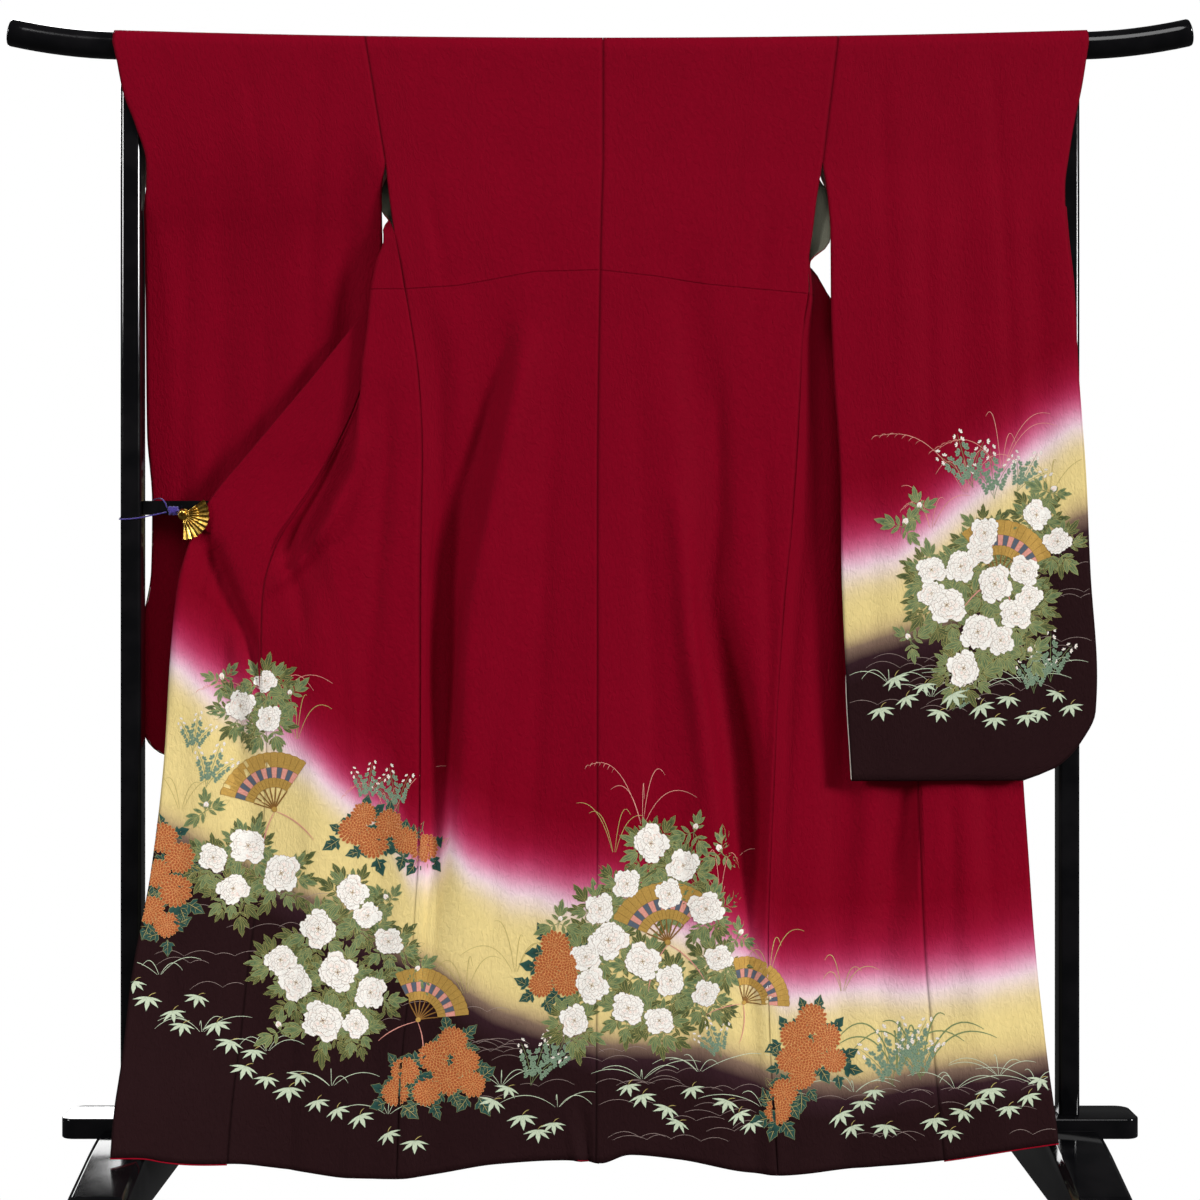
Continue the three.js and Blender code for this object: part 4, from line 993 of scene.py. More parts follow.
def sleevePiece(name):
    label = f"sleeve_{name}"
    coarse = sleeveHeights[name]
    heights = []
    for high, low in zip(coarse[:-1], coarse[1:]):
        parts = max(1, int(round((high - low) / spacing[0])))
        heights += [mix(high, low, k / parts) for k in range(parts)]
    heights.append(coarse[-1])
    s = np.linspace(0, 1, sleeveLook["columns"])
    near = [sleevePoints(name, True, z, s) for z in heights]
    far = [sleevePoints(name, False, z, s) for z in heights]
    over = []
    for angle in np.linspace(math.pi, 0, sleeveLook["overBar"]):
        rise = drape * math.sin(angle)
        inner = armholeX(name, barZ(shoulder[name]) + rise) + signOf[name] * halfGap
        x = mix(inner, sleeve[name]["outX"](shoulder["z"]), s)
        over.append(np.stack([x, drape * math.cos(angle) + 0 * x, barZ(x) + rise], 1))
    sheet = np.array(near[::-1] + over + far)
    closed = [i for i, z in enumerate(heights) if z <= sleeveLook["closedTo"]]
    nearEdge, farEdge = [
        np.array([layer[i][-1] for i in closed] + [layer[-1][k] for k in range(len(s) - 2, -1, -1)])
        for layer in (near, far)]
    along = np.gradient(nearEdge, axis=0)
    along[:, 1] = 0
    along /= np.linalg.norm(along, axis=1)[:, None]
    out = np.stack([-signOf[name] * along[:, 2], 0 * along[:, 0], signOf[name] * along[:, 0]], 1)
    reach = (farEdge - nearEdge)[:, 1:2]
    bulge = out * reach * sleeveLook["bulge"][name]
    strip = np.array([mix(nearEdge, farEdge, t) + bulge * math.sin(math.pi * t)
                      for t in np.linspace(0, 1, sleeveLook["edgeRows"])])
    strip = np.moveaxis(strip, 0, 1)
    flip = name == "left"
    return clothPiece(label + "_cloth", [sheet, strip], name, [flip, flip], (outerSilk, sleeveLining))


collarLook = {"width": 55, "low": 962, "high": 1612, "rows": 16, "columns": 7, "offset": 2.7, "swell": 0.6,
              "neck": (-60, -25, 25, 60), "neckDrop": (4, 14), "spacing": (9.0, 5.0)}


def edgeDepth(name, x, z):
    points = section(name, z)[1]
    share = np.interp(abs(x), *zip(*sorted((abs(px), py) for px, py in points)))
    return float(share)


def collarPiece():
    path = []
    for name, order in (("left", 1), ("right", -1)):
        levels = [mix(collarLook["low"], collarLook["high"], t)
                  for t in np.linspace(0, 1, collarLook["rows"] + 1)]
        line = [(name, float(front[name]["edgeX"](z)), float(front[name]["edgeY"](z)), z) for z in levels]
        path += line[::order]
        if name == "left":
            neck = collarLook["neck"]
            path += [(None, x, drape, float(barZ(x)) - mix(*collarLook["neckDrop"], abs(x) / neck[-1]))
                     for x in neck]
    rows = []
    for i, (name, x, y, z) in enumerate(path):
        before, after = path[max(0, i - 1)], path[min(len(path) - 1, i + 1)]
        along = np.array([after[1] - before[1], 0, after[3] - before[3]])
        along /= np.linalg.norm(along)
        down = np.array([along[2], 0, -along[0]])
        row = []
        for t in np.linspace(0, 1, collarLook["columns"]):
            p = np.array([x, y, z]) + down * mix(2, collarLook["width"], t)
            depth = max(y, edgeDepth(name, p[0], p[2])) if name else y
            swell = collarLook["swell"] * math.sin(math.pi * t) ** 2
            row.append((p[0], depth + collarLook["offset"] + swell, p[2]))
        rows.append(row)
    grid = refine(np.array(rows), collarLook["spacing"])
    return clothPiece("collar_cloth", [grid], None, [True], (outerSilk, outerSilk))


for sideName in ("left", "right"):
    pieces[f"body_{sideName}"] = bodyPiece(sideName)
    pieces[f"okumi_{sideName}"] = okumiPiece(sideName)
    pieces[f"sleeve_{sideName}"] = sleevePiece(sideName)
pieces["collar"] = collarPiece()
print("cloth hung", {key: len(piece.data.polygons) for key, piece in pieces.items()})


def finerCopy(name, bevel, segments=3):
    # A merged copy of a plain wooden part with its edges rounded over.
    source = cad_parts[name].data.copy()
    bm = bmesh.new()
    bm.from_mesh(source)
    bmesh.ops.remove_doubles(bm, verts=bm.verts, dist=1e-5)
    bmesh.ops.dissolve_limit(bm, angle_limit=math.radians(1), verts=bm.verts, edges=bm.edges)
    bm.to_mesh(source)
    bm.free()
    source.materials.clear()
    piece = addObject(name + "_lacquered", source, (lacquer,))
    source.shade_smooth()
    return finish(piece, ("BEVEL", {
        "width": bevel * mm, "segments": segments, "limit_method": "ANGLE", "angle_limit": math.radians(32),
        "harden_normals": True,
    }))


barEnd = {"rings": 90, "sides": 64, "rounded": 3, "step": 0.6, "tip": 2.4, "next": 1.0}


def barPiece():
    half, rounded, step = stand["barHalf"], barEnd["rounded"], barEnd["step"]
    x = np.linspace(rounded - half, half - rounded, barEnd["rings"])
    x = np.concatenate([[-half, step - half], x, [half - step, half]])
    radius = np.full(len(x), stand["barRadius"])
    radius[[0, -1]] -= barEnd["tip"]
    radius[[1, -2]] -= barEnd["next"]
    path = np.stack([x, 0 * x, barZ(x)], 1)
    return addObject("bar_lacquered", tubeMesh("bar", path, radius, barEnd["sides"]), (lacquer,))


pieces["top_bar"] = barPiece()
for nodeName, bevelWidth in (("mid_rail", 1.6), ("bottom_rail", 2.2), ("post_left", 1.2),
                             ("post_right", 1.2),
                             ("foot_left", 2.0), ("foot_right", 2.0)):
    pieces[nodeName] = finerCopy(nodeName, bevelWidth)
print("stand made")

# The gilt fan clip.
fanClip = {
    "pivot": (-595, -27.7, 979), "inner": 7, "outer": 36, "start": 38, "end": -92, "pleats": 10,
    "pleatDepth": 1.1,
    "thick": 0.9, "ribReach": (3, 12, 22), "ribWidths": (0.9, 0.8, 0.5), "ribLift": (1.0, 0.9),
    "hub": ((8.5, -1.5, 1.5), (7.0, -2.2, -1.5), (4.0, -3.2, -2.2)), "knob": (5.5, (-2, -2.5, 3)),
    "jaws": ((-602, -597, -27.7, -18.6, 975, 984), (-602, -562, -18.6, -17.4, 972, 984)),
}


def fanPiece():
    cx, cy, cz = fanClip["pivot"]
    count = fanClip["pleats"] * 4
    bm = bmesh.new()
    radii = np.linspace(fanClip["inner"], fanClip["outer"], 7)
    rows = []
    for r in radii:
        row = []
        for k in range(count + 1):
            angle = math.radians(mix(fanClip["start"], fanClip["end"], k / count))
            wave = abs((k % 4) - 2) - 1
            rr = r - (0.5 * (1 + wave) if r == radii[-1] else 0)
            y = cy - wave * fanClip["pleatDepth"] * r / fanClip["outer"]
            row.append(bm.verts.new(Vector((cx + rr * math.cos(angle), y, cz + rr * math.sin(angle))) * mm))
        rows.append(row)
    for a, b in zip(rows[:-1], rows[1:]):
        for k in range(count):
            bm.faces.new((a[k], a[k + 1], b[k + 1], b[k]))
    mesh = bpy.data.meshes.new("fan")
    bm.to_mesh(mesh)
    bm.free()
    solid = {"thickness": fanClip["thick"] * mm, "offset": 0.0}
    parts = [finish(addObject("fan_leaf", mesh, (gilt,)), ("SOLIDIFY", solid))]
    base, more = fanClip["ribLift"]
    for k in range(fanClip["pleats"] + 1):
        angle = math.radians(mix(fanClip["start"], fanClip["end"], k / fanClip["pleats"]))
        path = [(cx + r * math.cos(angle), cy - base - more * r / fanClip["outer"], cz + r * math.sin(angle))
                for r in fanClip["ribReach"]]
        parts.append(addObject("rib", tubeMesh("rib", path, np.array(fanClip["ribWidths"]), 6), (gilt,)))
    for radius, low, high in fanClip["hub"]:
        rings = [(cx, cy + y, cz) for y in (low, low + 0.2, high - 0.2, high)]
        widths = np.array([radius - 0.5, radius, radius, radius - 0.5])
        parts.append(addObject("hub", tubeMesh("hub", rings, widths, 32), (gilt,)))
    radius, (dx, dy, dz) = fanClip["knob"]
    around = np.linspace(0.12, math.pi - 0.12, 12)
    knob = [(cx + dx, cy + dy - radius * math.cos(a), cz + dz) for a in around]
    parts.append(addObject("knob", tubeMesh("knob", knob, radius * np.sin(around), 24), (gilt,)))
    for low, high, y0, y1, z0, z1 in fanClip["jaws"]:
        corners = [(x, y, z) for x in (low, high) for y in (y0, y1) for z in (z0, z1)]
        faces = [(0, 1, 3, 2), (4, 6, 7, 5), (0, 4, 5, 1), (2, 3, 7, 6), (0, 2, 6, 4), (1, 5, 7, 3)]
        jaw = addObject("jaw", meshFrom("jaw", corners, faces, False), (gilt,))
        parts.append(finish(jaw, ("BEVEL", {"width": 0.3 * mm, "segments": 2})))
    return joined("fan_clip_gilt", parts)


def joined(name, parts):
    bpy.ops.object.select_all(action="DESELECT")
    for part in parts:
        part.select_set(True)
    bpy.context.view_layer.objects.active = parts[0]
    bpy.ops.object.join()
    parts[0].name = name
    return parts[0]


pieces["fan_clip"] = fanPiece()

knotLook = {"place": (-611.4, -20.5, 985), "cord": 1.5, "loops": ((0.0, 1.0), (2.1, 0.85)),
            "reach": (8.2, 2.6, 5.2), "core": (1.0, 2.9, 3.9, 4.3, 4.4, 4.3, 3.9, 2.9, 1.0)}


def knotPiece():
    cx, cy, cz = knotLook["place"]
    wide, deep, tall = knotLook["reach"]
    parts = []
    for phase, size in knotLook["loops"]:
        turn = np.linspace(0, 2 * math.pi, 73)[:-1]
        loop = np.stack([
            cx + wide * size * np.sin(turn * 2 + phase) * (0.75 + 0.25 * np.cos(turn * 3)),
            cy + deep * np.cos(turn * 3 + phase),
            cz + tall * size * np.sin(turn * 3),
        ], 1)
        parts.append(addObject("loop", tubeMesh("loop", loop, knotLook["cord"], 10, True), (violet,)))
    core = [(cx - 5 + t, cy, cz - 0.5) for t in np.linspace(0, 10, 9)]
    parts.append(addObject("core", tubeMesh("core", core, np.array(knotLook["core"]), 16), (violet,)))
    return joined("knot_violet", parts)


pieces["clip_knot"] = knotPiece()
pieces["clip_cord"] = cordPiece
print("clip made")

# The dyed flowers: sketches in the plane, in millimetres, later laid on the cloth.
motifColours = {
    "petal": linear(252, 248, 240), "petalHeart": linear(246, 214, 198), "petalEdge": linear(146, 110, 84),
    "russet": linear(186, 96, 46), "russetHeart": linear(158, 76, 36), "russetEdge": linear(232, 188, 122),
    "sage": linear(124, 140, 92), "sageHeart": linear(74, 98, 66), "teal": linear(40, 84, 74),
    "tealHeart": linear(22, 54, 50), "line": linear(200, 182, 112), "pale": linear(200, 212, 184),
    "paleHeart": linear(138, 164, 134), "gold": linear(196, 156, 78), "goldDeep": linear(140, 98, 44),
    "blush": linear(222, 150, 136), "slate": linear(86, 96, 110), "olive": linear(96, 104, 58),
    "oliveHeart": linear(58, 70, 38), "clover": linear(138, 160, 132), "cloverHeart": linear(84, 112, 92),
    "haze": linear(158, 138, 132),
}


def newSketch():
    return {"points": [], "faces": [], "tint": [], "gilt": []}


def fill(sketch, outline, edge, inner, heart, level=0.0, inset=0.9, gilt=0.0):
    # A filled outline with a darker or lighter line round it and a shaded middle.
    outline = np.array(outline, float)
    middle = outline.mean(axis=0)
    toward = middle - outline
    far = np.maximum(np.linalg.norm(toward, axis=1), 1e-6)[:, None]
    ring = outline + toward / far * np.minimum(inset, far * 0.45)
    start, count = len(sketch["points"]), len(outline)
    for x, y in list(outline) + list(ring) + [middle]:
        sketch["points"].append((x, y, level))
    tints = [edge] * count + [inner] * count + [heart]
    sketch["tint"] += tints
    sketch["gilt"] += [max(gilt, 0.5 if edge == motifColours["line"] else 0.0)] * count + [gilt] * (count
                                                                                                    + 1)
    for k in range(count):
        n = (k + 1) % count
        sketch["faces"].append((start + k, start + n, start + count + n, start + count + k))
        sketch["faces"].append((start + count + k, start + count + n, start + 2 * count))


def stroke(sketch, path, width, colour, level=0.0, gilt=0.0, taper=0.25):
    # A thin painted line that narrows at both ends.
    path = np.array(path, float)
    along = np.gradient(path, axis=0)
    along /= np.maximum(np.linalg.norm(along, axis=1), 1e-6)[:, None]
    off = np.stack([-along[:, 1], along[:, 0]], 1)
    share = np.linspace(0, 1, len(path))
    half = 0.5 * width * mix(taper, 1, np.sin(math.pi * share) ** 0.6)[:, None]
    start = len(sketch["points"])
    for a, b in zip(path - off * half, path + off * half):
        sketch["points"] += [(a[0], a[1], level), (b[0], b[1], level)]
    sketch["tint"] += [colour] * (2 * len(path))
    sketch["gilt"] += [gilt] * (2 * len(path))
    for k in range(len(path) - 1):
        a = start + 2 * k
        sketch["faces"].append((a, a + 2, a + 3, a + 1))


def curve(a, b, c, count=9):
    t = np.linspace(0, 1, count)[:, None]
    return (1 - t) ** 2 * np.array(a) + 2 * t * (1 - t) * np.array(b) + t ** 2 * np.array(c)


def turned(points, turn, at=(0, 0), size=1.0):
    c, s = math.cos(turn), math.sin(turn)
    return [(at[0] + size * (x * c - y * s), at[1] + size * (x * s + y * c)) for x, y in points]


petalShape = [(0.08, 0.0), (0.22, 0.26), (0.5, 0.46), (0.78, 0.48), (0.94, 0.34), (0.9, 0.2), (1.0, 0.06),
              (0.93, -0.08),
              (0.98, -0.24), (0.88, -0.42), (0.62, -0.5), (0.3, -0.34)]
leafShape = [(0.0, 0.0), (0.16, 0.1), (0.2, 0.3), (0.38, 0.42), (0.4, 0.22), (0.62, 0.26), (0.8, 0.12),
             (1.0, 0.0),
             (0.78, -0.13), (0.6, -0.27), (0.42, -0.2), (0.36, -0.42), (0.18, -0.28), (0.14, -0.1)]


def peonySketch(c):
    # Ragged petals in five rings, the outer ones wide and flat, some of them flushed.
    sketch, dice = newSketch(), random.Random(4)
    level = 0.0
    rings = ((7, 29, 25), (7, 24, 20), (6, 18.5, 15), (5, 13, 11), (4, 8, 7))
    for ring, (count, reach, width) in enumerate(rings):
        for k in range(count):
            turn = 2 * math.pi * (k + 0.5 * ring) / count + dice.uniform(-0.2, 0.2)
            size = reach * dice.uniform(0.86, 1.08)
            shape = [(x * size * dice.uniform(0.95, 1.04), y * width * dice.uniform(0.88, 1.1))
                     for x, y in petalShape]
            flush = dice.uniform(0, 1) ** 2
            heart = tuple(mix(a, b, flush) for a, b in zip(c["petal"], c["petalHeart"]))
            shape = [(x * 1.08, y * 0.92) for x, y in turned(shape, turn)]
            fill(sketch, shape, c["petalEdge"], c["petal"], heart, level, 0.85)
            level += 0.012
    for k in range(11):
        turn, far = k * 2.4, 0.8 + 0.9 * k ** 0.5
        dot = [(far * math.cos(turn) + 0.7 * math.cos(a), far * math.sin(turn) + 0.7 * math.sin(a))
               for a in np.linspace(0, 2 * math.pi, 7)[:-1]]
        fill(sketch, dot, c["gold"], c["gold"], c["gold"], level + 0.02, 0.3, 0.6)
    return sketch


def russetSketch(c):
    # A chrysanthemum of many small outlined petals, ring over ring.
    sketch, dice = newSketch(), random.Random(12)
    level = 0.03
    rings = ((22.5, 15, 20), (18.5, 11.5, 18), (14.5, 8, 15), (10.5, 4.6, 11), (6.8, 1.8, 8), (3.2, 0.2, 5))
    for reach, low, count in rings:
        for k in range(count):
            turn = 2 * math.pi * (k + 0.5 * (count % 2)) / count + dice.uniform(-0.05, 0.05)
            wide = 1.55 * math.pi * reach / count
            far = reach * dice.uniform(0.94, 1.05)
            side = [(low, 0.4), (mix(low, far, 0.5), 0.52), (far - 1.6, 0.4), (far, 0.12)]
            petal = [(x, wide * y) for x, y in side] + [(x, -wide * y) for x, y in side[::-1]]
            fill(sketch, turned(petal, turn), c["russetEdge"], c["russet"], c["russetHeart"],
                 level + 0.02 * (k % 3), 0.62)
        level += 0.07
    return sketch


def leafSketch(c, inner, heart):
    sketch = newSketch()
    size = 30
    shape = [(x * size, y * size) for x, y in leafShape]
    fill(sketch, shape, c["line"], inner, heart, 0.0, 0.6)
    stroke(sketch, curve((0, 0), (14, 1.2), (27, 0)), 0.7, c["line"], 0.03, 0.5)
    for x, y, tx, ty in ((8, 0.6, 12, 9), (8, -0.4, 12, -9), (14, 0.7, 19, 5.5), (14, -0.3, 19, -5.5)):
        vein = curve((x, y), ((x + tx) / 2, y + (ty - y) * 0.35), (tx, ty), 5)
        stroke(sketch, vein, 0.45, c["line"], 0.03, 0.5)
    return sketch


def peonyLeafSketch(c, inner, heart):
    # A stalk with five pointed leaflets, each with its midrib.
    sketch = newSketch()
    stroke(sketch, curve((-6, 0), (4, 0.6), (12, 0), 5), 0.9, inner, 0.0)
    blade = [(0, 0), (0.2, 0.13), (0.48, 0.19), (0.62, 0.13), (0.74, 0.15), (1, 0), (0.74, -0.13),
             (0.6, -0.17),
             (0.4, -0.17), (0.2, -0.12)]
    leaflets = ((2, 1.0, 15), (2, -1.0, 15), (8, 0.55, 20), (8, -0.55, 20), (11, 0.0, 25))
    for k, (x, turn, size) in enumerate(leaflets):
        fill(sketch, turned(blade, turn, (x, 0), size), c["line"], inner, heart, 0.01 + 0.012 * k, 0.55)
        rib = [(0, 0), (0.4, 0.01), (0.9, 0)]
        stroke(sketch, turned(rib, turn, (x, 0), size), 0.45, c["line"], 0.03 + 0.012 * k, 0.4)
    return sketch


def sasaSketch(c):
    sketch = newSketch()
    for k, (turn, size) in enumerate(((-2.75, 17), (-2.2, 21), (-1.57, 23), (-0.95, 20), (-0.4, 16))):
        blade = [(0, 0), (0.25, 0.1), (0.55, 0.11), (1, 0), (0.55, -0.11), (0.25, -0.1)]
        shape = [(x * 1.3, y * 0.82) for x, y in turned(blade, turn, size=size)]
        fill(sketch, shape, c["paleHeart"], c["pale"], c["pale"], 0.01 * k, 0.6)
    stroke(sketch, curve((0, 0), (3, 5), (9, 6), 6), 0.9, c["line"], 0.06, 0.4)
    return sketch


def budSketch(c):
    sketch = newSketch()
    bud = [(0, 0), (3.2, 3.6), (8.5, 4.6), (12, 1.8), (12.6, -1.2), (8.5, -4.4), (3.2, -3.4)]
    fill(sketch, bud, c["petalEdge"], c["petal"], c["petalHeart"], 0.03, 0.7)
    for turn in (0.5, 0.0, -0.5):
        leaf = [(-2, 0), (2, 1.3), (6.5, 0), (2, -1.3)]
        fill(sketch, turned(leaf, turn), c["line"], c["sage"], c["sageHeart"], 0.06, 0.5)
    stroke(sketch, curve((-12, -3), (-6, 1), (-1, 0), 6), 1.0, c["sage"], 0.0)
    return sketch


def sprigSketch(c):
    # Bush clover: three arched stems with leaflets in threes and small blossoms at their tips.
    sketch, dice = newSketch(), random.Random(9)
    for k, (mid, tip) in enumerate((((-6, 34), (-30, 66)), ((4, 42), (10, 84)), ((10, 32), (42, 58)))):
        stem = curve((0, 0), mid, tip, 15)
        stroke(sketch, stem, 0.9, c["sage"], 0.0)
        for j in range(3, 15):
            x, y = stem[j]
            lead = math.atan2(*(stem[j] - stem[j - 1])[::-1])
            side = 1 if j % 2 else -1
            bloom = j > 10
            size = (4.4 if not bloom else 2.6) * dice.uniform(0.85, 1.15)
            stalk = (x + 4.5 * math.cos(lead + side * 1.1), y + 4.5 * math.sin(lead + side * 1.1))
            for spread in (-0.9, 0.0, 0.9):
                oval = [(size * (0.9 + 0.9 * math.cos(a)), size * 0.55 * math.sin(a))
                        for a in np.linspace(0, 2 * math.pi, 9)[:-1]]
                tone, heart = ("petal", "petalHeart") if bloom else ("clover", "cloverHeart")
                fill(sketch, turned(oval, lead + side * 1.1 + spread, stalk), c["cloverHeart"], c[tone],
                     c[heart],
                     0.02 + 0.01 * k + 0.003 * (spread + 1), 0.4)
    return sketch


def fanSketch(c):
    # A plain folding fan in gold, with its sticks and a coloured band.
    sketch = newSketch()
    low, high, inner, outer = math.radians(35), math.radians(145), 24, 62
    folds = 14
    for k in range(folds):
        a, b = mix(low, high, k / folds), mix(low, high, (k + 1) / folds)
        for r0, r1, tone in ((inner, 34, "gold"), (34, 46, "slate" if k % 2 else "blush"),
                             (46, outer, "gold")):
            bulged = r1 + (0.8 if tone == "gold" else 0)
            corners = ((r0, a), (r0, b), ((r0 + r1) / 2, b), (r1, b), (bulged, (a + b) / 2), (r1, a),
                       ((r0 + r1) / 2, a))
            quad = [(r * math.cos(t), r * math.sin(t)) for r, t in corners]
            fill(sketch, quad, c["goldDeep"], c[tone], c[tone], 0.0, 0.5, 0.75 if tone == "gold" else 0.0)
    for k in range(folds // 2 + 1):
        turn = mix(low, high, 2 * k / folds)
        path = [(r * math.cos(turn), r * math.sin(turn)) for r in np.linspace(3, inner, 5)]
        stroke(sketch, path, 1.5, c["goldDeep"], 0.01, 0.3, 0.8)
    hub = [(3.2 * math.cos(a), 3.2 * math.sin(a)) for a in np.linspace(0, 2 * math.pi, 13)[:-1]]
    fill(sketch, hub, c["goldDeep"], c["gold"], c["gold"], 0.05, 0.7, 0.6)
    for sign in (-1, 1):
        stroke(sketch, curve((0, -2), (sign * 22, -20), (sign * 30, -46), 10), 1.2, c["blush"], 0.03)
    return sketch


def sketchObject(name, sketch):
    mesh = meshFrom(name, sketch["points"], sketch["faces"], False)
    tint = mesh.attributes.new("tint", "FLOAT_COLOR", "POINT")
    tint.data.foreach_set("color", np.array(sketch["tint"], np.float32).ravel())
    shine = mesh.attributes.new("gilt", "FLOAT", "POINT")
    shine.data.foreach_set("value", np.array(sketch["gilt"], np.float32))
    return addObject(name, mesh)


def scatterTree():
    # Sets one sketch on every point, turned and sized by the point's own values.
    tree = bpy.data.node_groups.new("scatter motifs", "GeometryNodeTree")
    face = tree.interface
    face.new_socket("Geometry", in_out="INPUT", socket_type="NodeSocketGeometry")
    face.new_socket("Motif", in_out="INPUT", socket_type="NodeSocketObject")
    face.new_socket("Size", in_out="INPUT", socket_type="NodeSocketFloat").default_value = 1.0
    face.new_socket("Material", in_out="INPUT", socket_type="NodeSocketMaterial")
    face.new_socket("Geometry", in_out="OUTPUT", socket_type="NodeSocketGeometry")
    given, result = tree.nodes.new("NodeGroupInput"), tree.nodes.new("NodeGroupOutput")
    info = node(tree, "GeometryNodeObjectInfo", None, Object=given.outputs["Motif"])
    turn = node(tree, "GeometryNodeInputNamedAttribute", {"data_type": "FLOAT"}, Name="turn").outputs[0]
    size = node(tree, "GeometryNodeInputNamedAttribute", {"data_type": "FLOAT"}, Name="size").outputs[0]
    rotation = node(tree, "ShaderNodeCombineXYZ", None, Z=turn)
    whole = mathNode(tree, "MULTIPLY", size, given.outputs["Size"])
    placed = node(tree, "GeometryNodeInstanceOnPoints", None, Points=given.outputs["Geometry"],
                  Instance=info.outputs["Geometry"], Rotation=rotation.outputs[0], Scale=whole)
    real = node(tree, "GeometryNodeRealizeInstances", None, Geometry=placed.outputs[0])
    painted = node(tree, "GeometryNodeSetMaterial", None, Geometry=real.outputs[0],
                   Material=given.outputs["Material"])
    tree.links.new(painted.outputs[0], result.inputs[0])
    return tree


def motifMaterial():
    material, tree, shader = newMaterial("dyed and gilt motifs", Roughness=0.6, Specular_IOR_Level=0.25)
    tint = node(tree, "ShaderNodeAttribute", {"attribute_name": "tint"}).outputs["Color"]
    shine = node(tree, "ShaderNodeAttribute", {"attribute_name": "gilt"}).outputs["Fac"]
    place = node(tree, "ShaderNodeTexCoord").outputs["Object"]
    wear = node(tree, "ShaderNodeTexNoise", None, Vector=place, Scale=420.0, Detail=2.0)
    worn = multiplied(tree, tint, ranged(tree, wear.outputs[0], 0.3, 0.7, 0.86, 1.08))
    tree.links.new(worn, shader.inputs["Base Color"])
    tree.links.new(mathNode(tree, "MULTIPLY", shine, 0.55), shader.inputs["Metallic"])
    emboss(tree, shader, wear.outputs[0], 0.25, 0.0006)
    return material


motifSilk = motifMaterial()
sketches = {
    "peony": peonySketch, "russet": russetSketch, "bud": budSketch, "sasa": sasaSketch, "sprig": sprigSketch,
    "fan": fanSketch,
    "sageLeaf": lambda c: peonyLeafSketch(c, c["sage"], c["sageHeart"]),
    "oliveLeaf": lambda c: peonyLeafSketch(c, c["olive"], c["oliveHeart"]),
    "tealLeaf": lambda c: leafSketch(c, c["teal"], c["tealHeart"]),
}
levels = {"sprig": 0.05, "sageLeaf": 0.16, "oliveLeaf": 0.06, "tealLeaf": 0.1, "fan": 0.38, "russet": 0.45,
          "bud": 0.5, "sasa": 0.3, "peony": 0.62}
enlarged = {"peony": 0.98, "fan": 1.3, "sprig": 0.95, "sasa": 1.05}

